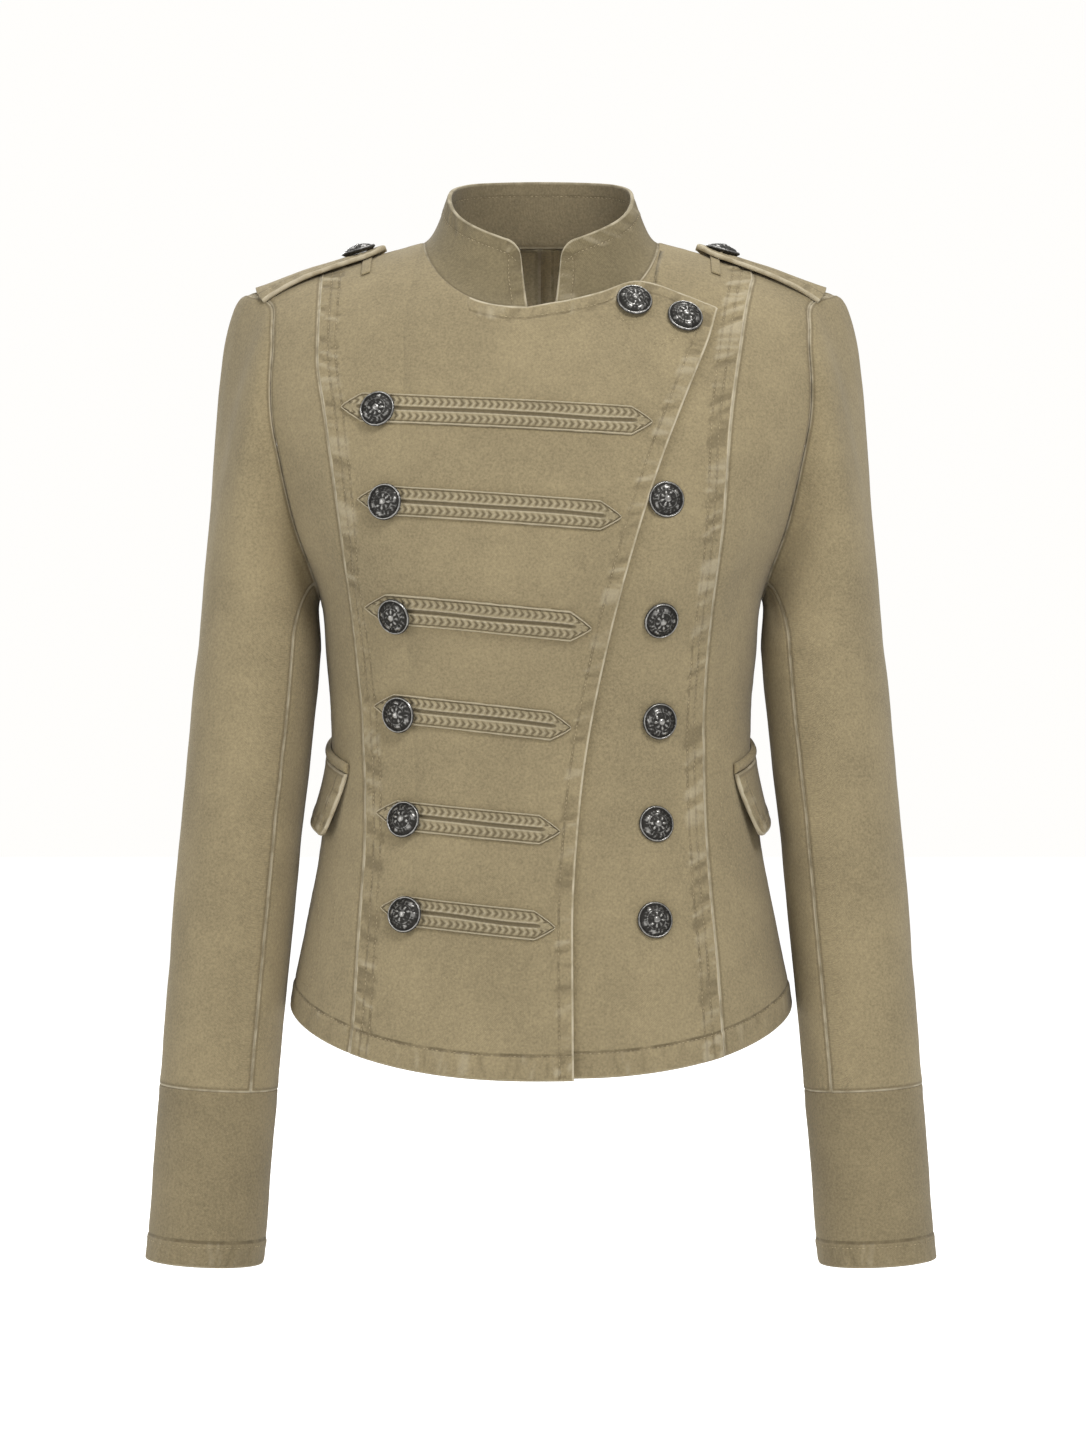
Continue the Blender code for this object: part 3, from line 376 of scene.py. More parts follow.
def valueNoise(at, pitch, seed):
    values = np.random.default_rng(seed).uniform(-1, 1, 512)
    t = np.asarray(at, float) / pitch + 100
    k = np.floor(t).astype(int)
    f = t - k
    f = f * f * (3 - 2 * f)
    return values[k % 512] * (1 - f) + values[(k + 1) % 512] * f


# How the cloth rises and puckers beside each kind of edge, in millimetres.
edgeKinds = {
    "lap": {"lift": 0.5, "reach": 14, "rows": (7.6, 13.2), "pucker": 0.62, "roll": 0.6, "channel": 0.3},
    "free": {"lift": 0.25, "reach": 10, "rows": (9.0,), "pucker": 0.5, "roll": 0.35, "channel": 0.3},
    "under": {"lift": -0.3, "reach": 1.2, "rows": (), "pucker": 0.14, "roll": 0.1, "channel": 0.0},
    "seam": {"lift": 0.12, "reach": 4, "rows": (), "pucker": 0.12, "roll": 0.45, "channel": 0.0},
    "hem": {"lift": 0.55, "reach": 14.5, "rows": (15.6,), "pucker": 0.36, "roll": 0.2, "channel": 0.45},
    "none": None,
}
puckerPitch = 4.6

# Soft creases round the body: degrees round (0 at the front, 90 at the wearer's left side),
# height, degrees and height of the other end, width, depth (a trough is negative).
bodyCreases = (
    (-66, -196, -58, -262, 13, -1.5),
    (-60, -188, -50, -240, 9, 0.8),
    (-72, -236, -48, -292, 12, -0.8),
    (65, -192, 59, -268, 14, -1.6),
    (59, -184, 51, -238, 9, 0.8),
    (72, -240, 50, -300, 12, -0.9),
    (-70, -300, -44, -316, 12, -0.9),
    (-74, -330, -52, -338, 10, 0.7),
    (70, -306, 42, -322, 13, -1.0),
    (76, -334, 54, -344, 10, 0.7),
    (-26, -322, 4, -334, 14, -0.5),
    (28, -286, 40, -330, 12, -0.5),
    (-38, -396, -30, -470, 20, -0.6),
    (44, -400, 36, -474, 18, -0.6),
    (-50, -352, -58, -404, 14, 0.6),
    (-20, -72, -38, -118, 20, -0.6),
    (24, -86, 34, -136, 18, -0.5),
    (118, -196, 126, -262, 13, -1.4),
    (-116, -190, -124, -270, 13, -1.5),
    (146, -300, 174, -316, 12, -1.1),
    (-150, -296, -172, -308, 12, -1.0),
    (112, -312, 150, -330, 10, -0.9),
    (-110, -318, -146, -334, 10, -0.9),
    (166, -330, 140, -344, 11, 0.7),
    (-160, -326, -134, -342, 11, 0.7),
    (132, -92, 144, -176, 18, -0.8),
    (-134, -88, -146, -170, 18, -0.8),
    (150, -402, 156, -470, 18, -0.6),
    (-128, -398, -134, -468, 20, -0.7),
)


def around(points):
    return np.degrees(np.arctan2(points[..., 0], -points[..., 1]))


def creaseHeight(rows, turns, heights, perDegree, wrap=True):
    total = np.zeros(turns.shape)
    for turnA, heightA, turnB, heightB, width, depth in rows:
        stepTurn = (turnB - turnA) * perDegree
        stepHeight = heightB - heightA
        length = math.hypot(stepTurn, stepHeight)
        away = turns - turnA
        if wrap:
            away = (away + 180) % 360 - 180
        a = away * perDegree
        b = heights - heightA
        along = (a * stepTurn + b * stepHeight) / length
        aside = (a * stepHeight - b * stepTurn) / length
        bend = 0.10 * along * (1 - along / length)
        fade = softStep(along / (0.42 * length)) * softStep((length - along) / (0.5 * length))
        total += depth * fade * np.exp(-((aside - bend) / width) ** 2)
    return total


def broadNoise(points, size, seed):
    rng = np.random.default_rng(seed)
    total = np.zeros(points.shape[:-1])
    for k in range(7):
        way = unit(rng.normal(size=3))
        pitch = size * rng.uniform(0.7, 1.5)
        total += np.sin(points @ way * 2 * math.pi / pitch + rng.uniform(0, 6.3))
    return total / 3.5


def edgeDistances(points):
    across = np.linalg.norm(np.diff(points, axis=1), axis=2)
    up = np.linalg.norm(np.diff(points, axis=0), axis=2)
    rows, columns = points.shape[:2]
    fromFirst = np.concatenate([np.zeros((rows, 1)), np.cumsum(across, axis=1)], axis=1)
    fromLow = np.concatenate([np.zeros((1, columns)), np.cumsum(up, axis=0)], axis=0)

    def slant(edge, inward):
        along = unit(np.gradient(edge, axis=0))
        lean = np.maximum(0.5, np.linalg.norm(np.cross(along, unit(inward)), axis=-1))
        return np.convolve(np.pad(lean, 5, "edge"), np.ones(11) / 11, "valid")

    first = slant(points[:, 0], points[:, 2] - points[:, 0])[:, None]
    last = slant(points[:, -1], points[:, -3] - points[:, -1])[:, None]
    low = slant(points[0], points[2] - points[0])[None]
    high = slant(points[-1], points[-3] - points[-1])[None]

    def away(reach, lean):
        return reach * (lean + (1 - lean) * softStep(reach / 34))

    return {
        "first": away(fromFirst, first),
        "last": away(fromFirst[:, -1:] - fromFirst, last),
        "low": away(fromLow, low),
        "high": away(fromLow[-1:] - fromLow, high),
        "along": fromLow,
        "aside": fromFirst,
    }


def edgeRelief(kind, distance, along, seed):
    sizes = edgeKinds[kind]
    wave = valueNoise(along + 0.3 * distance, puckerPitch, seed)
    wave += 0.5 * valueNoise(along - 0.2 * distance, puckerPitch * 0.45, seed + 1)
    window = softStep(distance / 2) * (1 - softStep((distance - sizes["reach"]) / 4))
    puckers = sizes["pucker"] * wave * window
    total = sizes["lift"] * (1 - softStep((distance - sizes["reach"]) / 2.6)) + puckers
    total -= sizes["roll"] * np.clip(1 - distance / 1.3, 0, 1) ** 2
    for row in sizes["rows"]:
        total -= sizes["channel"] * np.exp(-((distance - row) / 1.0) ** 2)
    return total, puckers


# What the shader reads from the first channel of "marks": below "edge" the distance in mm from a
# stitched edge, "none" on plain cloth, and up to "seam" more beside a seam within its reach.
marksAt = {
    "none": 24.0,
    "edge": 16,
    "seam": 8.0,
    "seamReach": 4.0,
}


def mixEdges(sheet, kinds, seed, weights=None):
    shape = sheet["distances"]["first"].shape
    relief = np.zeros(shape)
    pucker = np.zeros(shape)
    marks = np.full(shape + (3,), marksAt["none"])
    seams = np.zeros(shape)
    channel = {"lap": 0, "free": 1, "hem": 2}
    for number, edge in enumerate(("first", "last", "low", "high")):
        kind = kinds.get(edge, "none")
        if edgeKinds[kind] is None:
            continue
        along = sheet["distances"]["along" if edge in ("first", "last") else "aside"]
        distance = sheet["distances"][edge]
        more, waves = edgeRelief(kind, distance, along, seed + 7 * number)
        if weights is not None and edge in weights:
            more = more * weights[edge]
            waves = waves * weights[edge]
            distance = np.where(weights[edge] > 0.5, distance, 60.0)
        relief += more
        pucker += waves
        if kind in channel:
            k = channel[kind]
            marks[..., k] = np.minimum(marks[..., k], distance)
        elif kind in ("under", "seam"):
            nearness = np.clip(1 - distance / marksAt["seamReach"], 0, 1)
            seams = np.maximum(seams, marksAt["seam"] * nearness)
    marks[..., 0] = np.where(marks[..., 0] < marksAt["edge"], marks[..., 0], marks[..., 0] + seams)
    sheet["relief"] = relief
    sheet["pucker"] = pucker
    sheet["marks"] = marks


def bodySoft(points):
    soft = creaseHeight(bodyCreases, around(points), points[..., 2], 2.5)
    return soft + 0.45 * broadNoise(points, 95, 5) + 0.16 * broadNoise(points, 34, 6)


def panelSheet(places, hand, shift, kinds, seed, weights=None):
    turn = places[..., 0]
    level = places[..., 1]
    outs = normalAt(turn, level, hand)
    points = spot(turn, level, hand)
    points = points + outs * shift(points)[..., None]
    sheet = {"distances": edgeDistances(points), "outs": outs}
    mixEdges(sheet, kinds, seed, weights)
    soft = bodySoft(points)
    margin = np.ones(soft.shape)
    for edge in ("first", "last", "low", "high"):
        margin = np.minimum(margin, 0.25 + 0.75 * softStep(sheet["distances"][edge] / 16))
    sheet["outer"] = points + outs * (sheet["relief"] + soft * margin)[..., None]
    sheet["inner"] = points - outs * (body["cloth"] - 0.6 * soft * margin)[..., None]
    sheet["uv"] = np.stack([sheet["distances"]["aside"], level], -1)
    return sheet


def gapEdges(sheet, edges, gap):
    outer = sheet["outer"]
    inner = sheet["inner"]
    moves = []
    if "first" in edges:
        moves.append(((slice(None), 0), outer[:, 1] - outer[:, 0]))
    if "last" in edges:
        moves.append(((slice(None), -1), outer[:, -2] - outer[:, -1]))
    if "low" in edges:
        moves.append(((0, slice(None)), outer[1] - outer[0]))
    if "high" in edges:
        moves.append(((-1, slice(None)), outer[-2] - outer[-1]))
    for where, inward in moves:
        outer[where] = outer[where] + unit(inward) * gap
        inner[where] = inner[where] + unit(inward) * gap


def joinedMesh(name, points, faces, uv=None, marks=None, tone=None, materialIndex=None):
    mesh = bpy.data.meshes.new(name)
    mesh.from_pydata((points * mm).tolist(), [], faces)
    mesh.update()
    count = len(mesh.polygons)
    mesh.polygons.foreach_set("use_smooth", np.ones(count, bool))
    if materialIndex is not None:
        mesh.polygons.foreach_set("material_index", np.asarray(materialIndex, np.int32))
    if uv is not None:
        layer = mesh.uv_layers.new(name="clothWay")
        loops = np.empty(len(mesh.loops), np.int32)
        mesh.loops.foreach_get("vertex_index", loops)
        layer.data.foreach_set("uv", (uv[loops] * mm).ravel().astype(np.float32))
    if marks is not None:
        data = mesh.attributes.new("marks", "FLOAT_VECTOR", "POINT")
        data.data.foreach_set("vector", marks.ravel().astype(np.float32))
    if tone is not None:
        data = mesh.attributes.new("pucker", "FLOAT", "POINT")
        data.data.foreach_set("value", tone.ravel().astype(np.float32))
    thing = bpy.data.objects.new(name, mesh)
    bpy.context.scene.collection.objects.link(thing)
    return thing


def outwardFaces(points, faces):
    corners = np.array([(f[0], f[1], f[2]) for f in faces])
    a, b, c = points[corners[:, 0]], points[corners[:, 1]], points[corners[:, 2]]
    total = np.einsum("ij,ij->i", a, np.cross(b, c)).sum()
    quads = np.array([(f[0], f[2], f[3]) for f in faces if len(f) == 4])
    a, b, c = points[quads[:, 0]], points[quads[:, 1]], points[quads[:, 2]]
    total += np.einsum("ij,ij->i", a, np.cross(b, c)).sum()
    return faces if total > 0 else [f[::-1] for f in faces]


def closedSheet(name, sheet, materials, rimOut=0.12, wrap=False):
    outer = sheet["outer"]
    inner = sheet["inner"]
    rows, columns = outer.shape[:2]
    ids = np.arange(rows * columns).reshape(rows, columns)
    if wrap:
        ids = np.concatenate([ids, ids[:, :1]], axis=1)
    quads = np.stack([ids[:-1, :-1], ids[:-1, 1:], ids[1:, 1:], ids[1:, :-1]], -1).reshape(-1, 4)
    inside = quads[:, ::-1] + rows * columns
    if wrap:
        loops = [list(ids[0, :-1]), list(ids[-1, :-1][::-1])]
    else:
        loops = [list(ids[0]) + list(ids[1:, -1]) + list(ids[-1, -2::-1]) + list(ids[-2:0:-1, 0])]
    flatOuter = outer.reshape(-1, 3)
    flatInner = inner.reshape(-1, 3)
    centreWay = np.zeros((rows, columns, 3))
    centreWay[0] += unit(outer[0] - outer[1])
    centreWay[-1] += unit(outer[-1] - outer[-2])
    if not wrap:
        centreWay[:, 0] += unit(outer[:, 0] - outer[:, 1])
        centreWay[:, -1] += unit(outer[:, -1] - outer[:, -2])
    centreWay = centreWay.reshape(-1, 3)
    points = [flatOuter, flatInner]
    start = 2 * rows * columns
    rimFaces = []
    rimIds = []
    for loop in loops:
        loop = np.array(loop)
        middle = (flatOuter[loop] + flatInner[loop]) / 2 + centreWay[loop] * rimOut
        points.append(middle)
        count = len(loop)
        mid = start + np.arange(count)
        after = np.roll(np.arange(count), -1)
        a, b = loop, loop[after]
        rimFaces.append(np.stack([b, a, mid, mid[after]], -1))
        rimFaces.append(np.stack([mid[after], mid, a + rows * columns, b + rows * columns], -1))
        rimIds.append(loop)
        start += count
    faces = [quads, inside] + rimFaces
    rimIndex = [np.zeros(len(f)) for f in rimFaces]
    index = np.concatenate([np.zeros(len(quads)), np.ones(len(inside))] + rimIndex)
    points = np.concatenate(points)
    faces = np.concatenate(faces).tolist()
    every = [np.arange(rows * columns)] * 2 + rimIds
    every = np.concatenate(every)
    uv = sheet["uv"].reshape(-1, 2)[every]
    marks = sheet["marks"].reshape(-1, 3)[every]
    tone = sheet["pucker"].reshape(-1)[every].copy()
    tone[rows * columns: 2 * rows * columns] *= 0.4
    faces = outwardFaces(points, faces)
    if len(materials) == 1:
        index = None
    thing = joinedMesh(name, points, faces, uv, marks, tone, index)
    for material in materials:
        thing.data.materials.append(material)
    return thing


# Stitches are gathered here by piece, as rows of points with a direction and an outward way.
stitchRows = {}
stitchSizes = {"pitch": 2.9, "length": 2.1, "wide": 0.5, "high": 0.34}
# How far each row of stitches lies from its edge.
stitchAt = {
    "lapNear": 7.6,
    "lapFar": 13.2,
    "crossing": 9.0,
    "neck": 8.0,
    "hem": 15.3,
    "cuff": 12.5,
    "collarTop": 9.2,
    "collarEnd": 8.6,
    "tab": 7.0,
    "flap": 6.0,
}


def edgeLine(sheet, edge, distance, side="outer"):
    grid = sheet[side]
    outs = sheet["outs"] if side == "outer" else -sheet["outs"]
    away = sheet["distances"][edge]
    if edge in ("low", "high"):
        grid = grid.swapaxes(0, 1)
        outs = outs.swapaxes(0, 1)
        away = away.T
    points = []
    ways = []
    for row, out, d in zip(grid, outs, away):
        if edge in ("last", "high"):
            row, out, d = row[::-1], out[::-1], d[::-1]
        points.append([np.interp(distance, d, row[:, k]) for k in range(3)])
        ways.append([np.interp(distance, d, out[:, k]) for k in range(3)])
    return np.array(points), unit(np.array(ways))


def sew(group, points, outs, start=0.0, stop=0.0, pitch=None, seed=1):
    pitch = pitch or stitchSizes["pitch"]
    steps = np.linalg.norm(np.diff(points, axis=0), axis=1)
    reach = np.concatenate([[0], np.cumsum(steps)])
    if reach[-1] - start - stop < pitch:
        return
    rng = np.random.default_rng(seed)
    at = np.arange(start + pitch / 2, reach[-1] - stop, pitch)
    at = at + rng.uniform(-0.16, 0.16, len(at)) * pitch
    place = np.stack([np.interp(at, reach, points[:, k]) for k in range(3)], -1)
    out = unit(np.stack([np.interp(at, reach, outs[:, k]) for k in range(3)], -1))
    ahead = np.stack([np.interp(at + 0.8, reach, points[:, k]) for k in range(3)], -1)
    behind = np.stack([np.interp(at - 0.8, reach, points[:, k]) for k in range(3)], -1)
    aside = np.cross(out, unit(ahead - behind))
    way = unit(ahead - behind + aside * rng.uniform(-0.2, 0.2, len(at))[:, None])
    sizes = np.full(len(at), min(1.0, pitch / stitchSizes["pitch"]))
    rows = stitchRows.setdefault(group, [])
    rows.append((place + out * 0.02, way, out, sizes))


def sewEdge(group, sheet, edge, distance, start=0.0, stop=0.0, side="outer", seed=1):
    points, outs = edgeLine(sheet, edge, distance, side)
    sew(group, points, outs, start, stop, seed=seed)


def sewLap(group, sheet, edge, stop, seed):
    # The two rows that hold a lapped seam down, clear of the hem's turning.
    sewEdge(group, sheet, edge, stitchAt["lapNear"], 16, stop, seed=seed)
    sewEdge(group, sheet, edge, stitchAt["lapFar"], 16, stop, seed=seed + 1)


# Linear colours, tuned against the photo's even light.
colours = {
    "cloth": (0.312, 0.253, 0.146, 1),
    "clothLight": (0.60, 0.53, 0.385, 1),
    # Colour of the painted shade beside sewn edges and in recesses.
    "clothPaintedShade": (0.105, 0.08, 0.042, 1),
    # The inside's colour is lighter than the cloth's as painted light, brightening the shaded inside of
    # the garment.
    "inside": (0.56, 0.47, 0.30, 1),
    # The collar's colour is the cloth's darkened to about two thirds, as painted shade of the sloping
    # collar.
    "collar": (0.205, 0.166, 0.092, 1),
    "collarInside": (0.225, 0.182, 0.108, 1),
    "cuff": (0.262, 0.212, 0.122, 1),
    "braid": (0.335, 0.278, 0.17, 1),
    "thread": (0.40, 0.33, 0.205, 1),
    "metal": (0.40, 0.39, 0.37, 1),
    "metalDark": (0.05, 0.048, 0.044, 1),
}


class Nodes:
    def __init__(self, tree):
        self.tree = tree

    def add(self, kind, label="", **settings):
        node = self.tree.nodes.new(kind)
        node.label = label
        for key, value in settings.items():
            setattr(node, key, value)
        return node

    def link(self, a, b):
        self.tree.links.new(a, b)

    def math(self, operation, a, b=None, clamp=False):
        node = self.add("ShaderNodeMath", operation=operation, use_clamp=clamp)
        for k, value in enumerate((a, b)):
            if value is None:
                continue
            if isinstance(value, (int, float)):
                node.inputs[k].default_value = value
            else:
                self.link(value, node.inputs[k])
        return node.outputs[0]

    def mixColour(self, factor, a, b, blend="MIX"):
        node = self.add("ShaderNodeMix", data_type="RGBA", blend_type=blend)
        for key, value in ((0, factor), (6, a), (7, b)):
            if isinstance(value, (int, float)):
                node.inputs[key].default_value = value
            elif isinstance(value, tuple):
                node.inputs[key].default_value = value
            else:
                self.link(value, node.inputs[key])
        return node.outputs[2]

    def noise(self, scale, detail=None, roughness=None):
        texture = self.add("ShaderNodeTexNoise")
        for label, value in (("Scale", scale), ("Detail", detail), ("Roughness", roughness)):
            if value is not None:
                texture.inputs[label].default_value = value
        place = self.add("ShaderNodeTexCoord")
        self.link(place.outputs["Object"], texture.inputs["Vector"])
        return texture.outputs[0]

    def bump(self, height, strength, distance, shader):
        bump = self.add("ShaderNodeBump")
        bump.inputs["Strength"].default_value = strength
        bump.inputs["Distance"].default_value = distance
        self.link(height, bump.inputs["Height"])
        self.link(bump.outputs[0], shader.inputs["Normal"])

    def ramp(self, value, low, high, toLow=0.0, toHigh=1.0):
        node = self.add("ShaderNodeMapRange", clamp=True, interpolation_type="SMOOTHSTEP")
        self.link(value, node.inputs[0])
        for key, number in ((1, low), (2, high), (3, toLow), (4, toHigh)):
            node.inputs[key].default_value = number
        return node.outputs[0]


def newGroup(name, inputs, outputs):
    group = bpy.data.node_groups.new(name, "ShaderNodeTree")
    for label, kind, value in inputs:
        socket = group.interface.new_socket(label, in_out="INPUT", socket_type=kind)
        if value is not None:
            socket.default_value = value
    for label, kind in outputs:
        group.interface.new_socket(label, in_out="OUTPUT", socket_type=kind)
    nodes = Nodes(group)
    return group, nodes, nodes.add("NodeGroupInput"), nodes.add("NodeGroupOutput")


def washedTwill():
    # Woven diagonal ribs over the cloth's own way, and the uneven fading of a washed garment.
    group, nodes, given, result = newGroup(
        "washedTwill",
        (("Pitch", "NodeSocketFloat", 0.0011), ("Fade", "NodeSocketFloat", 1.0)),
        (("Ribs", "NodeSocketFloat"), ("Fading", "NodeSocketFloat"), ("Grain", "NodeSocketFloat")),
    )
    way = nodes.add("ShaderNodeUVMap", uv_map="clothWay")
    split = nodes.add("ShaderNodeSeparateXYZ")
    nodes.link(way.outputs[0], split.inputs[0])
    slope = nodes.math("ADD", split.outputs[0], nodes.math("MULTIPLY", split.outputs[1], 0.75))
    turns = nodes.math("MULTIPLY", nodes.math("DIVIDE", slope, given.outputs["Pitch"]), 2 * math.pi)
    ribs = nodes.math("MULTIPLY", nodes.math("ADD", nodes.math("SINE", turns), 1.0), 0.5)
    broad = nodes.noise(17.0, 5.0, 0.62)
    middle = nodes.noise(120.0, 4.0)
    fine = nodes.noise(620.0, 3.0, 0.7)
    fading = nodes.math("SUBTRACT", nodes.ramp(broad, 0.3, 0.7), 0.5)
    fading = nodes.math("MULTIPLY", fading, given.outputs["Fade"])
    small = nodes.math("SUBTRACT", middle, 0.5)
    fading = nodes.math("ADD", fading, nodes.math("MULTIPLY", small, 0.55))
    nodes.link(ribs, result.inputs["Ribs"])
    nodes.link(fading, result.inputs["Fading"])
    nodes.link(fine, result.inputs["Grain"])
    return group


def sewnEdges():
    # Light rubbed edges and light pucker tops beside the sewn edges, with painted shade in the stitch
    # channels, along the hem's stitch line, beside seams and in the pucker troughs.
    group, nodes, given, result = newGroup(
        "sewnEdges",
        (("Rub", "NodeSocketFloat", 1.0), ("Shade", "NodeSocketFloat", 1.0)),
        (("Light", "NodeSocketFloat"), ("Dark", "NodeSocketFloat")),
    )
    marks = nodes.add("ShaderNodeAttribute", attribute_name="marks")
    pucker = nodes.add("ShaderNodeAttribute", attribute_name="pucker")
    split = nodes.add("ShaderNodeSeparateXYZ")
    nodes.link(marks.outputs["Vector"], split.inputs[0])
    noise = nodes.noise(95.0, 4.0)
    uneven = nodes.ramp(noise, 0.32, 0.62, 0.35, 1.0)

    def line(value, centre, half):
        away = nodes.math("ABSOLUTE", nodes.math("SUBTRACT", value, centre))
        return nodes.ramp(away, half, half * 0.35, 0.0, 1.0)

    def stronger(value, other, share):
        return nodes.math("MAXIMUM", value, nodes.math("MULTIPLY", other, share))

    lap, free, hem = split.outputs
    light = nodes.math("MAXIMUM", line(lap, 0.4, 1.3), line(free, 0.3, 1.4))
    light = stronger(light, line(hem, 0.2, 1.2), 0.35)
    light = stronger(light, nodes.ramp(lap, 28.6, 30.6), 0.8)
    light = nodes.math("MULTIPLY", light, uneven)
    light = stronger(light, nodes.ramp(pucker.outputs["Fac"], 0.08, 0.7), 0.4)
    # The Dark output is painted shade: the stitch channels, the hem's stitch line, the sides of seams and
    # the pucker troughs are darkened.
    near = line(lap, stitchAt["lapNear"], 1.2)
    far = line(lap, stitchAt["lapFar"], 1.2)
    dark = nodes.math("MAXIMUM", near, far)
    dark = nodes.math("MAXIMUM", dark, line(free, stitchAt["crossing"], 1.2))
    dark = nodes.math("MULTIPLY", dark, nodes.ramp(noise, 0.35, 0.65, 0.25, 0.7))
    dark = stronger(dark, line(hem, 15.9, 1.5), uneven)
    dark = stronger(dark, nodes.ramp(lap, 25.2, 28.2), 0.6)
    dark = stronger(dark, nodes.ramp(pucker.outputs["Fac"], -0.06, -0.6), 0.62)
    nodes.link(nodes.math("MULTIPLY", light, given.outputs["Rub"]), result.inputs["Light"])
    nodes.link(nodes.math("MULTIPLY", dark, given.outputs["Shade"]), result.inputs["Dark"])
    return group


clothLook = {
    "darker": 0.72,
    "lighter": 1.26,
    "fade": 0.34,
    "grain": 1.9,
    "ribs": 0.16,
    "shadows": 0.72,
    "rubbed": 0.85,
    "grooves": 1.6,
    "roughness": 0.92,
    "shine": 0.18,
    "sheen": 0.12,
    "sheenRoughness": 0.6,
    "bump": 0.5,
    "bumpDeep": 0.0003,
}


def twillMaterial(name, base, twill, edges, rub=1.0, shade=1.0):
    material = bpy.data.materials.new(name)
    material.use_nodes = True
    tree = material.node_tree
    nodes = Nodes(tree)
    shader = tree.nodes["Principled BSDF"]
    weave = nodes.add("ShaderNodeGroup", node_tree=twill)
    sewn = nodes.add("ShaderNodeGroup", node_tree=edges)
    sewn.inputs["Rub"].default_value = rub
    sewn.inputs["Shade"].default_value = shade
    weave.inputs["Fade"].default_value = 1.0
    dark = tuple(c * clothLook["darker"] for c in base[:3]) + (1,)
    light = tuple(min(1, c * clothLook["lighter"]) for c in base[:3]) + (1,)
    fading = nodes.math("MULTIPLY", weave.outputs["Fading"], clothLook["fade"])
    fading = nodes.math("ADD", fading, 0.5)
    grain = nodes.math("SUBTRACT", weave.outputs["Grain"], 0.5)
    grain = nodes.math("MULTIPLY", grain, clothLook["grain"])
    rib = nodes.math("SUBTRACT", weave.outputs["Ribs"], 0.5)
    rib = nodes.math("MULTIPLY", rib, clothLook["ribs"])
    tone = nodes.math("ADD", nodes.math("ADD", fading, grain), rib, clamp=True)
    colour = nodes.mixColour(tone, dark, light)
    # Painted shade: the Dark output of the sewn edges darkens the colour in stitch channels, beside seams
    # and in pucker troughs.
    shadows = nodes.math("MULTIPLY", sewn.outputs["Dark"], clothLook["shadows"])
    colour = nodes.mixColour(shadows, colour, colours["clothPaintedShade"])
    rubbed = nodes.math("MULTIPLY", sewn.outputs["Light"], clothLook["rubbed"])
    colour = nodes.mixColour(rubbed, colour, colours["clothLight"])
    nodes.link(colour, shader.inputs["Base Color"])
    shader.inputs["Roughness"].default_value = clothLook["roughness"]
    shader.inputs["Specular IOR Level"].default_value = clothLook["shine"]
    shader.inputs["Sheen Weight"].default_value = clothLook["sheen"]
    shader.inputs["Sheen Roughness"].default_value = clothLook["sheenRoughness"]
    height = nodes.math("MULTIPLY", weave.outputs["Ribs"], 0.5)
    height = nodes.math("ADD", height, weave.outputs["Grain"])
    grooves = nodes.math("MULTIPLY", sewn.outputs["Dark"], clothLook["grooves"])
    height = nodes.math("SUBTRACT", height, grooves)
    nodes.bump(height, clothLook["bump"], clothLook["bumpDeep"], shader)
    return material


def threadMaterial(name, base):
    material = bpy.data.materials.new(name)
    material.use_nodes = True
    nodes = Nodes(material.node_tree)
    shader = material.node_tree.nodes["Principled BSDF"]
    noise = nodes.noise(240.0)
    dark = tuple(c * 0.6 for c in base[:3]) + (1,)
    light = tuple(min(1, c * 1.35) for c in base[:3]) + (1,)
    colour = nodes.mixColour(nodes.ramp(noise, 0.3, 0.7), dark, light)
    nodes.link(colour, shader.inputs["Base Color"])
    shader.inputs["Roughness"].default_value = 0.8
    shader.inputs["Specular IOR Level"].default_value = 0.25
    return material


def metalMaterial():
    # Old silver: the hollows hold dark tarnish and the high places are rubbed bright.
    material = bpy.data.materials.new("oldSilver")
    material.use_nodes = True
    nodes = Nodes(material.node_tree)
    shader = material.node_tree.nodes["Principled BSDF"]
    noise = nodes.noise(700.0, 5.0)
    raised = nodes.add("ShaderNodeAttribute", attribute_name="pucker")
    speckle = nodes.math("MULTIPLY", nodes.math("SUBTRACT", noise, 0.5), 0.5)
    worn = nodes.math("ADD", raised.outputs["Fac"], speckle)
    worn = nodes.ramp(worn, 0.12, 0.85)
    colour = nodes.mixColour(worn, colours["metalDark"], colours["metal"])
    nodes.link(colour, shader.inputs["Base Color"])
    shader.inputs["Metallic"].default_value = 1.0
    nodes.link(nodes.ramp(worn, 0.0, 1.0, 0.62, 0.3), shader.inputs["Roughness"])
    nodes.bump(noise, 0.35, 0.0002, shader)
    return material


twillGroup = washedTwill()
edgeGroup = sewnEdges()
outsideTwill = twillMaterial("twillOutside", colours["cloth"], twillGroup, edgeGroup)
# The inside material's light colour is painted light on the shaded inside.
insideTwill = twillMaterial("twillInside", colours["inside"], twillGroup, edgeGroup, 0.4, 0.8)
# The collar material is a darker copy of the cloth, painted shade of the sloping collar.
collarTwill = twillMaterial("twillCollar", colours["collar"], twillGroup, edgeGroup, 0.8, 0.9)
collarInside = twillMaterial("twillCollarInside", colours["collarInside"], twillGroup, edgeGroup, 0.5, 0.8)
cuffTwill = twillMaterial("twillCuff", colours["cuff"], twillGroup, edgeGroup)
braidTwill = twillMaterial("braidCotton", colours["braid"], twillGroup, edgeGroup, 1.9, 1.5)
threadCotton = threadMaterial("threadCotton", colours["thread"])
oldSilver = metalMaterial()
print("stage: materials made")

made = []


def finishCloth(thing, node):
    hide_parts(node)
    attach(thing, "root")
    made.append(thing.name)


def dressPanel(node, places, hand, shift, kinds, gaps, seed, weights=None):
    sheet = panelSheet(places, hand, shift, kinds, seed, weights)
    gapEdges(sheet, gaps, body["seamGap"])
    thing = closedSheet(node + "_cloth", sheet, (outsideTwill, insideTwill))
    finishCloth(thing, node)
    return sheet


def topPlaceOf(rows):
    return planPlace(float(smoothRow(rows, 1, -26)), -body["seamAhead"])


# A level near the hem, where the body's section hardly changes any more.
hemNear = -300.0


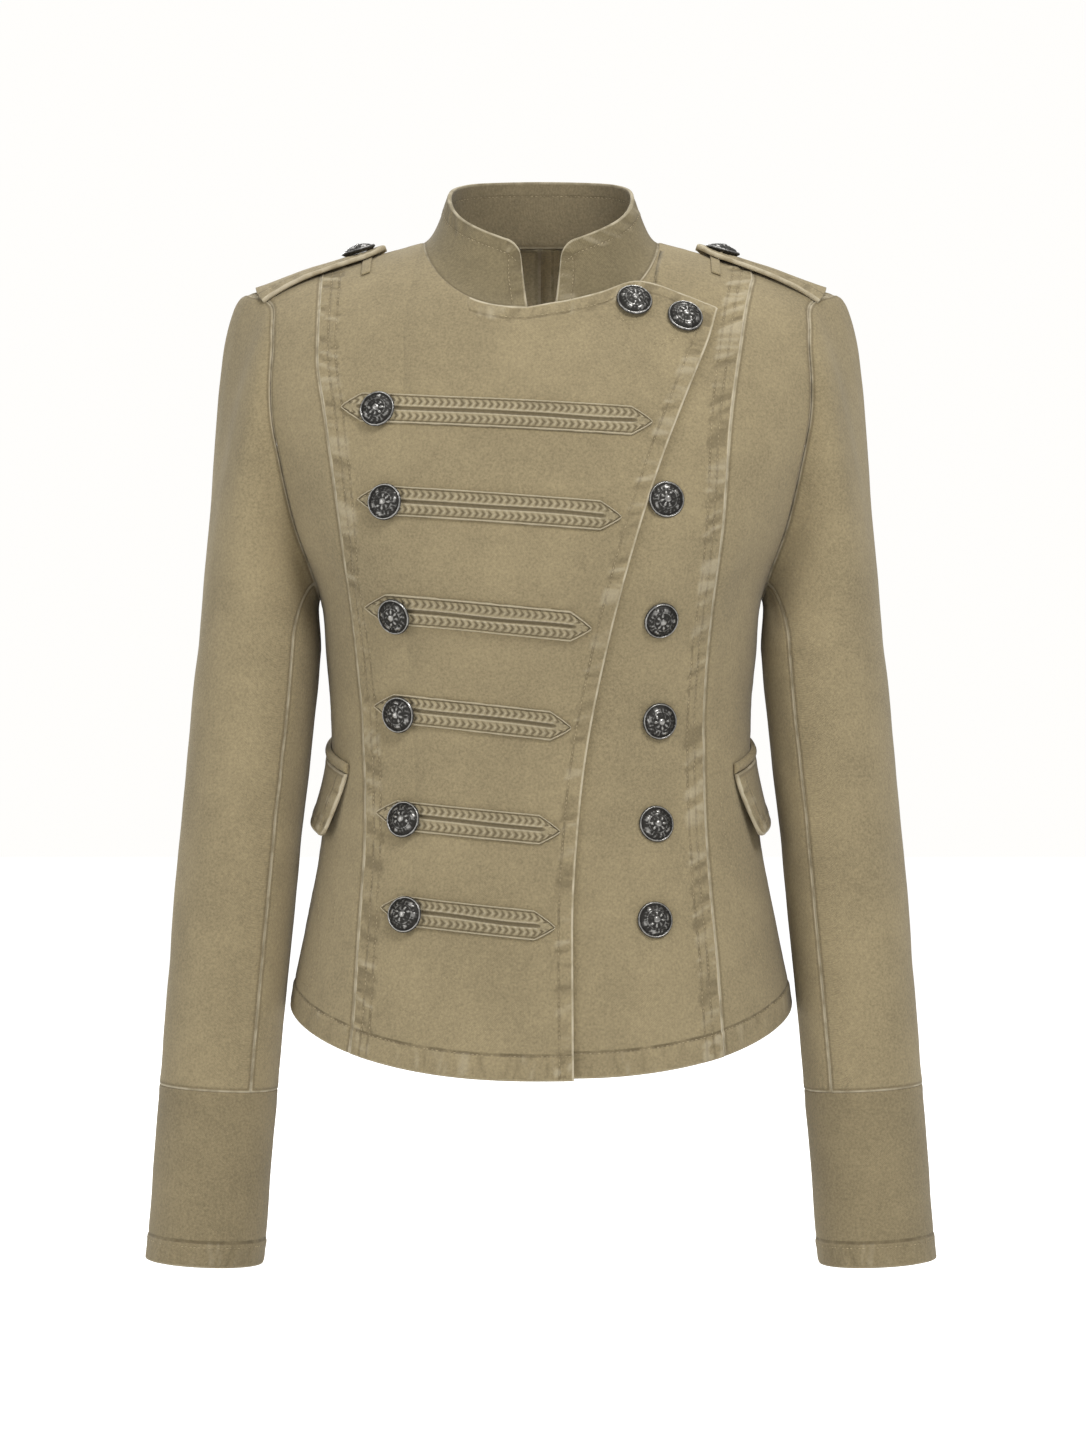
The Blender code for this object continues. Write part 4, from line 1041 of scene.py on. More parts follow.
def rightFront():
    hand = -1
    start = topPlaceOf(body["seamRight"])
    startX = abs(float(spot(start[0], start[1], hand)[0]))
    shoulder = startX - body["neckWide"]
    part = spaced(shoulder, 4.0, True, False)[:-1]
    one = planPlace(startX - shoulder * part, -body["seamAhead"])
    one[0] = start
    neck = neckFront(np.linspace(0, 1, 30))
    wide = body["crossWide"]
    crossX = wide * spaced(wide, 3.6, False, True)[1:] - body["neckStop"]
    cross = frontPlace(crossX, crossTopAt(crossX), hand)
    high = np.concatenate([one, neck, cross])
    across = steadyShares(high, hand)
    low = hemPlace(turnOf(hand * (body["hemRight"] + body["hemRightWide"] * across), hemNear))
    first = seamPlaces(body["seamRight"], low[0, 1], start)
    low[0] = first[0]
    marks = [(float(levelOf(a, h)), a) for h, a in body["crossEdge"]]
    levels = rowLevels(low[-1, 1], 0.0, high[-1, 1])
    last = np.stack([turnOf(hand * smoothRow(marks, 1, levels), levels), levels], -1)
    last[-1] = high[-1]
    low[-1] = last[0]
    places = patch(first, last, low, high, across, upShares(first))
    onNeck = np.zeros(len(across))
    onNeck[len(one) + 20:] = 1.0
    onNeck = softStep(np.convolve(onNeck, np.ones(9) / 9, "same"))
    weights = {"high": np.broadcast_to(onNeck, places.shape[:2])}
    kinds = {"first": "lap", "last": "free", "low": "hem", "high": "free"}
    sheet = dressPanel("front_right", places, hand, liftOff, kinds, "first high", 11, weights)
    sewLap("stitches_front", sheet, "first", 2, 1)
    sewEdge("stitches_front", sheet, "last", stitchAt["crossing"], 3, 8, seed=3)
    sewEdge("stitches_front", sheet, "low", stitchAt["hem"], 1, 1, seed=4)
    points, outs = edgeLine(sheet, "high", stitchAt["neck"])
    keep = slice(len(one) + 24, None)
    sew("stitches_front", points[keep], outs[keep], 0, 4, seed=5)
    return sheet


def leftFront():
    hand = 1
    end = topPlaceOf(body["seamLeft"])
    endX = abs(float(spot(end[0], end[1], hand)[0]))
    under = frontPlace(np.array((-16.0, -12, -8, -4, 0, 4)), np.linspace(-51.5, -50.4, 6), hand)
    neck = neckFront(np.linspace(1, 0, 34))
    shoulder = endX - body["neckWide"]
    part = spaced(shoulder, 4.0, False, True)[1:]
    three = planPlace(body["neckWide"] + shoulder * part, -body["seamAhead"])
    three[-1] = end
    high = np.concatenate([under, neck, three])
    across = steadyShares(high, hand)
    low = hemPlace(turnOf(hand * (body["underReach"] + body["hemLeftWide"] * across), hemNear))
    low[:, 1] += 2.0 * (1 - across)
    last = seamPlaces(body["seamLeft"], low[-1, 1], end)
    low[-1] = last[0]
    levels = rowLevels(low[0, 1], 0.0, high[0, 1])
    x = body["underReach"] + 8.0 * np.linspace(0, 1, len(levels))
    first = np.stack([turnOf(hand * x, levels), levels], -1)
    first[-1] = high[0]
    low[0] = first[0]
    places = patch(first, last, low, high, across, upShares(last))
    kinds = {"last": "lap", "low": "hem", "high": "seam"}
    sheet = dressPanel("front_left", places, hand, sink, kinds, "last high", 21)
    sewLap("stitches_front", sheet, "last", 2, 6)
    sewEdge("stitches_front", sheet, "low", stitchAt["hem"], 44, 1, seed=8)
    return sheet


def sideFront(node, hand, rows, hemX, shift, seed):
    topStart = topPlaceOf(rows)
    start = hemPlace(turnOf(hemX, hemNear))
    first = seamPlaces(rows, float(start[1]), topStart)
    first[0] = start
    last = sidePlaces(False)
    startX = abs(float(spot(topStart[0], topStart[1], hand)[0]))
    across = spaced(60.0, 2.6, False, False)
    across = np.concatenate([[0, 0.008, 0.02, 0.035], across[1:-1], [0.965, 0.98, 0.992, 1]])
    low = hemPlace(start[0] * (1 - across))
    high = planPlace(startX + (body["shoulderEnd"] - startX) * across, -body["seamAhead"])
    high[0] = first[-1]
    high[-1] = last[-1]
    places = patch(first, last, low, high, across, upShares(first))
    kinds = {"first": "under", "last": "seam", "low": "hem", "high": "seam"}
    sheet = dressPanel(node, places, hand, shift, kinds, "first last high", seed)
    sewEdge("stitches_side", sheet, "low", stitchAt["hem"], 1, 1, seed=seed)
    return sheet


def backPanel(node, hand, seed):
    first = sidePlaces(True)
    shoulder = body["shoulderEnd"] - body["neckWide"]
    part = spaced(shoulder, 3.4, False, False)[:-1]
    one = planPlace(body["shoulderEnd"] - shoulder * part, -body["seamAhead"], behind=True)
    one[0] = first[-1]
    neck = neckBack(np.linspace(0, 1, 24))
    high = np.concatenate([one, neck])
    middle = -math.pi / 2
    high[-1, 0] = middle
    across = steadyShares(high, hand)
    low = hemPlace(middle * across)
    levels = rowLevels(low[-1, 1], 0.0, high[-1, 1])
    last = np.stack([np.full(len(levels), middle), levels], -1)
    places = patch(first, last, low, high, across, upShares(last))
    kinds = {"first": "seam", "last": "lap" if hand > 0 else "under", "low": "hem", "high": "seam"}
    sheet = dressPanel(node, places, hand, noShift, kinds, "first last high", seed)
    if hand > 0:
        sewLap("stitches_back", sheet, "last", 6, seed)
    sewEdge("stitches_back", sheet, "low", stitchAt["hem"], 1, 1, seed=seed + 2)
    return sheet


sheets = {}
sheets["front_right"] = rightFront()
sheets["front_left"] = leftFront()
sheets["side_front_right"] = sideFront("side_front_right", -1, body["seamRight"], 120.0, noShift, 31)
sheets["side_front_left"] = sideFront("side_front_left", 1, body["seamLeft"], 115.0, sink, 41)
sheets["back_right"] = backPanel("back_right", -1, 51)
sheets["back_left"] = backPanel("back_left", 1, 61)
print("stage: body panels made")


sleeve = {
    "around": 20,
    "square": 2.15,
    "tilt": 0.055,
    "frontSeam": 3,
    "backSeam": 16,
    # row, height, outer edge, inner edge, middle, half depth
    "rings": (
        (0, -262, 222.2, 143.0, -2, 57), (1, -300, 226.2, 145.9, -3, 54),
        (2, -340, 229.6, 150.3, -5, 52), (3, -385, 233, 155.4, -8, 49.5),
        (4, -430, 237, 159.6, -11, 47), (5, -475, 240.4, 163.8, -15, 45),
        (6, -515, 243.4, 167.4, -19, 43.5), (7, -546, 245.6, 170, -22, 42.5),
        (8, -574, 247.4, 172.3, -25, 42), (9, -601, 249.3, 174.2, -28, 42),
        (10, -628, 251.2, 176.2, -31, 42), (11, -656, 253.3, 178.8, -33.5, 42),
    ),
}

# Soft creases of a sleeve: degrees round (0 at the body, 90 front, 180 outside, 270 back),
# height, degrees and height of the other end, width, depth.
sleeveCreases = (
    (58, -196, 36, -268, 9, -1.5),
    (84, -150, 70, -236, 12, -1.0),
    (122, -96, 112, -214, 14, 0.9),
    (64, -322, 20, -352, 9, -1.2),
    (92, -362, 30, -378, 10, -1.3),
    (70, -386, 14, -400, 8, 0.8),
    (104, -402, 48, -430, 11, -0.9),
    (150, -330, 140, -440, 16, -0.8),
    (60, -470, 96, -520, 12, -0.7),
    (210, -140, 222, -240, 14, -1.0),
    (262, -186, 300, -266, 11, -1.3),
    (286, -330, 344, -356, 9, -1.2),
    (270, -372, 336, -388, 10, 0.8),
    (250, -404, 300, -436, 12, -0.9),
    (190, -360, 176, -470, 15, 0.7),
    (300, -476, 262, -524, 12, -0.6),
)
cuffCreases = (
    (70, -566, 110, -620, 12, -0.6),
    (230, -560, 190, -630, 13, -0.7),
    (330, -580, 350, -640, 12, -0.6),
)


def sleeveRing(row, k):
    height, outside, inside, middle, deep = [smoothRow(sleeve["rings"], c, row) for c in (1, 2, 3, 4, 5)]
    centre = (outside + inside) / 2
    a = 2 * math.pi * k / sleeve["around"]
    c, s = np.cos(a), np.sin(a)
    power = 2 / sleeve["square"]
    x = centre - (outside - inside) / 2 * np.sign(c) * np.abs(c) ** power
    y = middle - deep * np.sign(s) * np.abs(s) ** power
    z = height + sleeve["tilt"] * (x - centre)
    return np.stack([-x, y, z], -1)


def sleevePoints(rows, k):
    # rows below 0 are the head, from -1 at the armhole to 0; k runs once round from the body side
    rows, k = np.broadcast_arrays(rows[:, None], k[None, :])
    full = sleeve["around"]
    k = k % full
    front = k <= full / 2
    half = np.where(front, k, full - k)
    ahead = armhole(half, False)
    behind = armhole(half, True)
    place = np.where(front[..., None], ahead, behind)
    start = spot(place[..., 0], place[..., 1], -1)
    end = sleeveRing(np.zeros(k.shape), k)
    t = np.clip(rows + 1, 0, 1)
    t = (t * (0.55 + 0.45 * t))[..., None]
    a = 2 * math.pi * k / full
    high = (1 - np.cos(a)) / 2
    fore = np.sin(a)
    leave = np.stack([np.full(a.shape, -0.96), -0.5 * fore, np.full(a.shape, -0.12)], -1)
    leave = leave * (3.0 + 16.0 * high)[..., None]
    drop = start[..., 2] - end[..., 2]
    arrive = np.stack([0.085 * high, 0.03 * fore, np.ones(a.shape)], -1) * (0.42 * drop)[..., None]
    head = (
        start * (1 - t) ** 3 + (start + leave) * (3 * t * (1 - t) ** 2)
        + (end + arrive) * (3 * t * t * (1 - t)) + end * t**3
    )
    return np.where((rows <= 0)[..., None], head, sleeveRing(np.maximum(rows, 0), k))


def sleeveSheet(rows, k, kinds, creases, seed, wrap=False):
    points = sleevePoints(rows, k)
    ahead = sleevePoints(rows, k + 0.15) - sleevePoints(rows, k - 0.15)
    down = np.gradient(points, axis=0)
    outs = unit(np.cross(ahead, down))
    centre = points.mean(axis=1, keepdims=True)
    if (outs * (points - centre)).sum() < 0:
        outs = -outs
    sheet = {"distances": edgeDistances(points), "outs": outs}
    mixEdges(sheet, kinds, seed)
    degrees = np.broadcast_to(k * 360 / sleeve["around"], points.shape[:2])
    soft = creaseHeight(creases, degrees, points[..., 2], 0.85)
    soft += 0.4 * broadNoise(points, 80, 15) + 0.14 * broadNoise(points, 30, 16)
    margin = np.ones(soft.shape)
    edges = ("low", "high") if wrap else ("first", "last", "low", "high")
    for edge in edges:
        margin = np.minimum(margin, 0.25 + 0.75 * softStep(sheet["distances"][edge] / 14))
    sheet["outer"] = points + outs * (sheet["relief"] + soft * margin)[..., None]
    sheet["inner"] = points - outs * (body["cloth"] - 0.6 * soft * margin)[..., None]
    sheet["uv"] = np.stack([sheet["distances"]["aside"], -sheet["distances"]["along"]], -1)
    sheet["wrap"] = wrap
    return sheet


def mirrored(sheet):
    other = dict(sheet)
    for key in ("outer", "inner", "outs"):
        flipped = sheet[key].copy()
        flipped[..., 0] *= -1
        other[key] = flipped
    return other


def dressSleeves():
    head = -1 + np.concatenate([[0, 0.006, 0.014, 0.025], np.linspace(0.04, 1, 60)])
    arm = np.linspace(0, 7, 116)[1:-3]
    arm = np.concatenate([arm, 7 - np.array((0.12, 0.06, 0.03, 0.012, 0.0))])
    rows = np.concatenate([head, arm])
    parts = (
        ("upper_sleeve", sleeve["frontSeam"], sleeve["backSeam"], 92, "seam"),
        ("under_sleeve", sleeve["backSeam"], 20 + sleeve["frontSeam"], 52, "under"),
    )
    for name, start, stop, count, sides in parts:
        kinds = {"first": sides, "last": sides, "low": "seam", "high": "seam"}
        k = np.linspace(start, stop, count)
        edge = np.array((0.0, 0.045, 0.1, 0.18))
        k = np.concatenate([start + edge, k[2:-2], (stop - edge)[::-1]])
        sheet = sleeveSheet(rows, k, kinds, sleeveCreases, 71)
        gapEdges(sheet, "first last high", body["seamGap"])
        gapEdges(sheet, "low", -0.6)
        for side, copy in (("right", sheet), ("left", mirrored(sheet))):
            node = name + "_" + side
            thing = closedSheet(node + "_cloth", copy, (outsideTwill, insideTwill))
            finishCloth(thing, node)
            sheets[node] = copy
    cuffTop = 7 + np.array((0, 0.012, 0.03, 0.06, 0.12))
    cuffHem = 11 - np.array((0.56, 0.52, 0.48, 0.44, 0.4, 0.34, 0.26, 0.18, 0.1, 0.05, 0.02, 0.0))
    cuffRows = np.concatenate([cuffTop, np.linspace(7.2, 10.4, 40), cuffHem])
    k = np.linspace(0, 20, 121)[:-1]
    sheet = sleeveSheet(cuffRows, k, {"low": "lap0", "high": "hem"}, cuffCreases, 91, wrap=True)
    sheet["outer"][:, :, 2] -= 2 * body["seamGap"] * softStep((sheet["distances"]["high"] - 60) / 40)
    sheet["inner"][:, :, 2] -= 2 * body["seamGap"] * softStep((sheet["distances"]["high"] - 60) / 40)
    for side, copy in (("right", sheet), ("left", mirrored(sheet))):
        node = "cuff_" + side
        thing = closedSheet(node + "_cloth", copy, (cuffTwill, insideTwill), wrap=True)
        finishCloth(thing, node)
        sheets[node] = copy
        points, outs = edgeLine(copy, "high", stitchAt["cuff"])
        points = np.concatenate([points, points[:1]])
        outs = np.concatenate([outs, outs[:1]])
        sew("stitches_cuff_" + side, points, outs, seed=9)


edgeKinds["lap0"] = {"lift": 0.1, "reach": 3, "rows": (), "pucker": 0.08, "roll": 0.5, "channel": 0.0}
dressSleeves()
print("stage: sleeves and cuffs made")


collar = {
    "thick": 2.3,
    "wide": 60.0,
    "front": 49.0,
    "back": 48.0,
    "middle": -10.0,
    "corner": 9.0,
    # fore and aft, height
    "top": ((-60, -8.5), (-52, 0), (-35, 12.4), (-5, 32), (15, 39.5), (38, 44.5)),
}


def collarSheet():
    stop = math.acos(13.5 / collar["wide"])
    ends = 1 - np.array((0, 0.008, 0.02, 0.035, 0.05, 0.065, 0.085, 0.1))
    front = np.concatenate([ends, np.linspace(0.88, 0.0, 44)])
    place = neckFront(front)
    feet = [spot(place[:, 0], place[:, 1], -1)]
    a = stop * front
    tops = [np.stack([-collar["wide"] * np.cos(a), collar["middle"] - collar["front"] * np.sin(a)], -1)]
    share = (1 - front) * 6
    cut = collar["corner"] * (1 - np.sqrt(1 - np.clip(1 - share / 0.6, 0, 1) ** 2))
    talls = [1 - cut / 44]
    back = np.linspace(0, 1, 36)[1:]
    place = neckBack(back)
    feet.append(spot(place[:, 0], place[:, 1], -1))
    a = math.pi / 2 * back
    tops.append(np.stack([-collar["wide"] * np.cos(a), collar["middle"] + collar["back"] * np.sin(a)], -1))
    talls.append(np.ones(len(back)))
    feet, tops, talls = np.concatenate(feet), np.concatenate(tops), np.concatenate(talls)
    flip = np.array((-1.0, 1, 1))
    leftFeet = feet[-2::-1] * flip
    away = np.where(leftFeet[:, 1] < -body["seamAhead"], sink(leftFeet), 0.0)
    leftFeet = leftFeet + np.stack([0 * away, -away, -0.6 * np.abs(away)], -1)
    feet = np.concatenate([feet, leftFeet]) - np.array((0, 0, 0.5))
    tops = np.concatenate([tops, tops[-2::-1] * flip[:2]])
    talls = np.concatenate([talls, talls[-2::-1]])
    topZ = smoothRow(collar["top"], 1, tops[:, 1])
    middle = np.concatenate([np.linspace(0.1, 0.66, 14), np.linspace(0.69, 0.95, 12)])
    shares = np.concatenate([[0, 0.012, 0.03, 0.06], middle, [0.97, 0.985, 1]])
    h = shares[:, None] * talls[None]
    bend = 0.8 - 0.25 * np.abs(feet[:, 0]) / body["neckWide"]
    lean = h ** bend[None]
    outer = np.stack([
        feet[:, 0] + (tops[:, 0] - feet[:, 0]) * lean,
        feet[:, 1] + (tops[:, 1] - feet[:, 1]) * lean,
        feet[:, 2] + (topZ - feet[:, 2]) * h,
    ], -1)
    across = np.gradient(outer, axis=1)
    up = np.gradient(outer, axis=0)
    outs = unit(np.cross(across, up))
    if (outs * (outer - np.array((0, collar["middle"], 0)))).sum() < 0:
        outs = -outs
    sheet = {"distances": edgeDistances(outer), "outs": outs}
    mixEdges(sheet, {"first": "free", "last": "free", "high": "free", "low": "seam"}, 101)
    soft = 0.35 * broadNoise(outer, 60, 25) + 0.12 * broadNoise(outer, 26, 26)
    sheet["relief"] = sheet["relief"] * 0.8 + soft
    sheet["inner"] = outer - outs * (collar["thick"] + 0.3 * sheet["relief"] - 0.1)[..., None]
    sheet["outer"] = outer + outs * (sheet["relief"] - 0.1)[..., None]
    sheet["uv"] = np.stack([sheet["distances"]["aside"], sheet["distances"]["along"]], -1)
    gapEdges(sheet, "low", 2 * body["seamGap"])
    return sheet


def dressCollar():
    sheet = collarSheet()
    thing = closedSheet("collar_cloth", sheet, (collarTwill, collarInside), rimOut=0.3)
    finishCloth(thing, "collar")
    for side in ("outer", "inner"):
        sewEdge("stitches_collar", sheet, "high", stitchAt["collarTop"], 10, 10, side, seed=111)
        sewEdge("stitches_collar", sheet, "first", stitchAt["collarEnd"], 3, 11, side, seed=112)
        sewEdge("stitches_collar", sheet, "last", stitchAt["collarEnd"], 3, 11, side, seed=113)
    sheets["collar"] = sheet


dressCollar()
print("stage: collar made")


braidSizes = {
    "half": 9.3,
    "point": 13.0,
    "slit": 0.9,
    "plait": 4.4,
    # height and sideways of the outer tip, then of the inner tip
    "rows": (
        (-113.3, -125.1, -124.3, 69.3), (-171.9, -113.9, -184.3, 49.7),
        (-239.1, -109.4, -253.0, 31.2), (-301.3, -105.0, -315.2, 18.8),
        (-368.9, -102.9, -380.1, 11.9), (-428.2, -99.8, -439.6, 8.8),
    ),
}


def braidPiece(number, row):
    z0, x0, z1, x1 = row
    length = math.hypot(x1 - x0, z1 - z0)
    count = int(length / 0.72)
    s = np.concatenate([[0.0, 0.25], np.linspace(0.6, length - 0.6, count), [length - 0.25, length]])
    w = np.linspace(-1, 1, 37)
    near = np.minimum(s, length - s)
    half = 0.7 + (braidSizes["half"] - 0.7) * np.clip(near / braidSizes["point"], 0, 1) ** 0.85
    wobble = 0.22 * valueNoise(s, 6.0, 200 + number)
    t = w[:, None] * (half + wobble)[None]
    sGrid = np.broadcast_to(s[None], t.shape)
    inward = half[None] - np.abs(t)
    x = x0 + (x1 - x0) * sGrid / length
    z = z0 + (z1 - z0) * sGrid / length + t
    place = frontPlace(x, z, -1)
    base = spot(place[..., 0], place[..., 1], -1)
    outs = normalAt(place[..., 0], place[..., 1], -1)
    base = base + outs * (0.1 + bodySoft(base) + liftOff(base))[..., None]
    side = np.where(t > 0, 0.0, 0.5)
    tape = (inward - 1.2) / np.maximum(1.0, half[None] - 1.2 - 1.5)
    tape = np.clip(tape, 0, 1)
    phase = sGrid / braidSizes["plait"] + side + 0.55 * np.abs(2 * tape - 1)
    phase = phase + 0.12 * valueNoise(sGrid, 9, 210 + number)
    plait = 0.5 + 0.5 * np.cos(2 * math.pi * phase)
    rim = np.exp(-((inward - 0.55) / 0.5) ** 2)
    gutter = np.exp(-((inward - 1.35) / 0.4) ** 2)
    slitPlace = np.abs(t - 0.7 * valueNoise(sGrid, 40, 220 + number))
    opened = softStep((near[None] - 8) / 5)
    slit = np.exp(-(slitPlace / braidSizes["slit"]) ** 2) * opened
    lip = np.exp(-((slitPlace - 1.7) / 0.5) ** 2) * opened
    height = 0.95 + 0.85 * np.sqrt(plait) * np.sin(math.pi * np.clip(tape, 0.06, 0.94)) ** 0.5
    height += 0.75 * rim - 0.5 * gutter - 1.0 * slit + 0.5 * lip
    height *= softStep((inward + 0.35) / 0.7) * 0.75 + 0.25
    height = np.maximum(0.25, height)
    top = base + outs * height[..., None]
    rows, columns = t.shape
    ids = np.arange(rows * columns).reshape(rows, columns)
    quads = np.stack([ids[:-1, :-1], ids[:-1, 1:], ids[1:, 1:], ids[1:, :-1]], -1).reshape(-1, 4)
    low = rows * columns
    lowIds = np.stack([low + np.arange(columns), low + columns + np.arange(columns)], 0)
    points = np.concatenate([top.reshape(-1, 3), base[0], base[-1]])
    bottom = np.stack([lowIds[0, 1:], lowIds[0, :-1], lowIds[1, :-1], lowIds[1, 1:]], -1)
    firstSide = np.stack([ids[0, 1:], ids[0, :-1], lowIds[0, :-1], lowIds[0, 1:]], -1)
    lastSide = np.stack([ids[-1, :-1], ids[-1, 1:], lowIds[1, 1:], lowIds[1, :-1]], -1)
    faces = np.concatenate([quads, bottom, firstSide, lastSide]).tolist()
    faces.append(list(ids[:, 0]) + [lowIds[1, 0], lowIds[0, 0]])
    faces.append(list(ids[::-1, -1]) + [lowIds[0, -1], lowIds[1, -1]])
    quadsOnly = outwardFaces(points, faces[:-2])
    if quadsOnly[0] != faces[0]:
        faces = quadsOnly + [f[::-1] for f in faces[-2:]]
    onTape = np.clip(np.sin(math.pi * tape), 0, 1)
    # The tone lightens the plait crests, the rims and the slit's lips, and darkens the gutter and the slit
    # as painted shade in these recesses.
    tone = 1.25 * (plait - 0.62) * onTape + 0.85 * rim - 0.95 * gutter - 1.8 * slit + 0.7 * lip
    tone = np.concatenate([tone.ravel(), np.full(2 * columns, -0.3)])
    uv = np.stack([sGrid, t], -1).reshape(-1, 2)
    uv = np.concatenate([uv, uv[:columns], uv[-columns:]])
    marks = np.full((len(points), 3), marksAt["none"])
    name = "braid_%d" % number
    thing = joinedMesh(name + "_plait", points, faces, uv, marks, tone)
    thing.data.materials.append(braidTwill)
    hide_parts(name)
    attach(thing, "root")
    made.append(thing.name)


for number, row in enumerate(braidSizes["rows"]):
    braidPiece(number + 1, row)
print("stage: braids made")


trims = {
    "epauletteOut": 184.5,
    "epauletteIn": 100.0,
    "epauletteBow": 6.5,
    "epauletteHalf": 21.0,
    "epauletteThick": 2.6,
    "keeperAt": 112.0,
    "keeperHalf": 2.8,
    "keeperThick": 0.9,
    "keeperSpan": (-37, 14),
    "pocketFront": (0.50, -341.5),
    "pocketRear": (-0.42, -317.0),
    "weltHalf": 3.2,
    "weltHigh": 3.6,
    "flapWide": 100.0,
    "flapLong": 41.0,
    "flapShift": -0.10,
    "flapThick": 2.4,
    "flapStand": 5.5,
    "flapCorner": 6.0,
}


def trimSheet(places, hand, base, thick, kinds, seed, scale=1.0):
    turn, level = places[..., 0], places[..., 1]
    outs = normalAt(turn, level, hand)
    points = spot(turn, level, hand)
    under = points + outs * (base + bodySoft(points))[..., None]
    top = under + outs * thick[..., None]
    sheet = {"distances": edgeDistances(top), "outs": outs}
    mixEdges(sheet, kinds, seed)
    sheet["outer"] = top + outs * (scale * sheet["relief"] + 0.12 * broadNoise(top, 30, seed))[..., None]
    sheet["inner"] = under
    sheet["uv"] = np.stack([sheet["distances"]["aside"], sheet["distances"]["along"]], -1)
    return sheet


def trimPiece(node, sheet, rimOut):
    thing = closedSheet(node + "_cloth", sheet, (outsideTwill,), rimOut=rimOut)
    finishCloth(thing, node)


def epaulette(side, hand):
    u = np.concatenate([[0, 0.006, 0.015, 0.03], np.linspace(0.05, 0.95, 60), [0.97, 0.985, 0.994, 1]])
    q = np.concatenate([[-1, -0.985, -0.96, -0.92], np.linspace(-0.87, 0.87, 24), [0.92, 0.96, 0.985, 1]])
    q, u = np.meshgrid(q, u, indexing="ij")
    outside = trims["epauletteOut"] - trims["epauletteBow"] * q * q
    x = outside + (trims["epauletteIn"] - outside) * u
    narrow = trims["epauletteHalf"] * (1 - 0.1 * u)
    tip = np.sqrt(np.maximum(0, 1 - (np.maximum(0, u - 0.8) / 0.2) ** 2))
    narrow = narrow * np.where(u > 0.8, np.maximum(0.3, tip), 1.0)
    places = planPlace(x, q * narrow + 0.001)
    points = spot(places[..., 0], places[..., 1], hand)
    long = trims["epauletteOut"] - trims["epauletteIn"]
    reach = (trims["epauletteOut"] - np.abs(points[..., 0])) / long
    base = 0.55 + 1.7 * softStep(reach / 0.5)
    thick = np.full(base.shape, trims["epauletteThick"])
    kinds = {"first": "none", "last": "free", "low": "free", "high": "free"}
    sheet = trimSheet(places, hand, base, thick, kinds, 301)
    trimPiece("epaulette_" + side, sheet, 0.25)
    for edge, start, stop, seed in (("low", 1, 8, 302), ("high", 1, 8, 303), ("last", 5, 5, 304)):
        sewEdge("stitches_shoulder_" + side, sheet, edge, stitchAt["tab"], start, stop, seed=seed)
    y = np.linspace(*trims["keeperSpan"], 40)
    x = trims["keeperAt"] + trims["keeperHalf"] * np.linspace(-1, 1, 7)
    x, y = np.meshgrid(x, y, indexing="ij")
    places = planPlace(x, y + 0.001)
    base = np.full(x.shape, 0.5)
    sheet = trimSheet(places, hand, base, np.full(x.shape, trims["keeperThick"]), {}, 311)
    trimPiece("keeper_" + side, sheet, 0.15)


def pocketLine(share):
    front = np.array(trims["pocketFront"])
    rear = np.array(trims["pocketRear"])
    return front[None] * (1 - share[:, None]) + rear[None] * share[:, None]


def pocket(side, hand):
    share = np.linspace(0, 1, 56)
    q = np.linspace(-1, 1, 17)
    line = pocketLine(share)
    turn = np.broadcast_to(line[None, :, 0], (len(q), len(share)))
    level = line[None, :, 1] + q[:, None] * trims["weltHalf"] - body["bust"]
    high = 0.9 + (trims["weltHigh"] - 0.9) * np.sqrt(np.maximum(0, 1 - q * q))
    high = np.broadcast_to(high[:, None], turn.shape)
    places = np.stack([turn, level], -1)
    sheet = trimSheet(places, hand, np.full(turn.shape, 0.5), high, {}, 321)
    trimPiece("welt_" + side, sheet, 0.1)
    length = trims["flapWide"]
    share = spaced(length, 3.0, True, True)
    q = np.concatenate([[0, 0.02, 0.05], np.linspace(0.1, 0.9, 20), [0.93, 0.96, 0.98, 1]])
    near = np.minimum(share, 1 - share) * length
    corner = trims["flapCorner"]
    cut = np.where(near < corner, corner - np.sqrt(np.maximum(0, corner**2 - (corner - near) ** 2)), 0)
    down = q[:, None] * (trims["flapLong"] - 0.8 * cut)[None]
    line = pocketLine(share)
    turn = line[None, :, 0] + trims["flapShift"] * down / trims["flapLong"]
    level = line[None, :, 1] - trims["weltHalf"] - 0.5 - down - body["bust"]
    places = np.stack([turn, level], -1)
    base = 1.05 + trims["flapStand"] * np.broadcast_to(q[:, None], turn.shape) ** 1.3
    kinds = {"first": "free", "last": "free", "high": "free", "low": "seam"}
    sheet = trimSheet(places, hand, base, np.full(turn.shape, trims["flapThick"]), kinds, 331)
    trimPiece("flap_" + side, sheet, 0.3)
    for edge, seed in (("first", 332), ("last", 333), ("high", 334)):
        sewEdge("stitches_pocket_" + side, sheet, edge, stitchAt["flap"], 6, 6, seed=seed)


for side, hand in (("right", -1), ("left", 1)):
    epaulette(side, hand)
    pocket(side, hand)
print("stage: trims made")


buttons = {
    # radius, height of the plain dome
    "shape": ((0, 5.75), (3, 5.5), (5.6, 4.95), (8, 3.95), (10.1, 2.75), (10.9, 2.6), (11.5, 2.0)),
    "around": 96,
    "rings": 34,
    "rimRings": (9.5, 9.8, 10.1, 10.4, 10.7, 11.0, 11.3, 11.5),
    "domeEnd": 9.2,
    "edge": (11.5, 1.7),
    "footHalf": 9.4,
    "relief": 0.62,
    "ditch": 0.35,
    "rough": 0.07,
    "petals": 8,
}


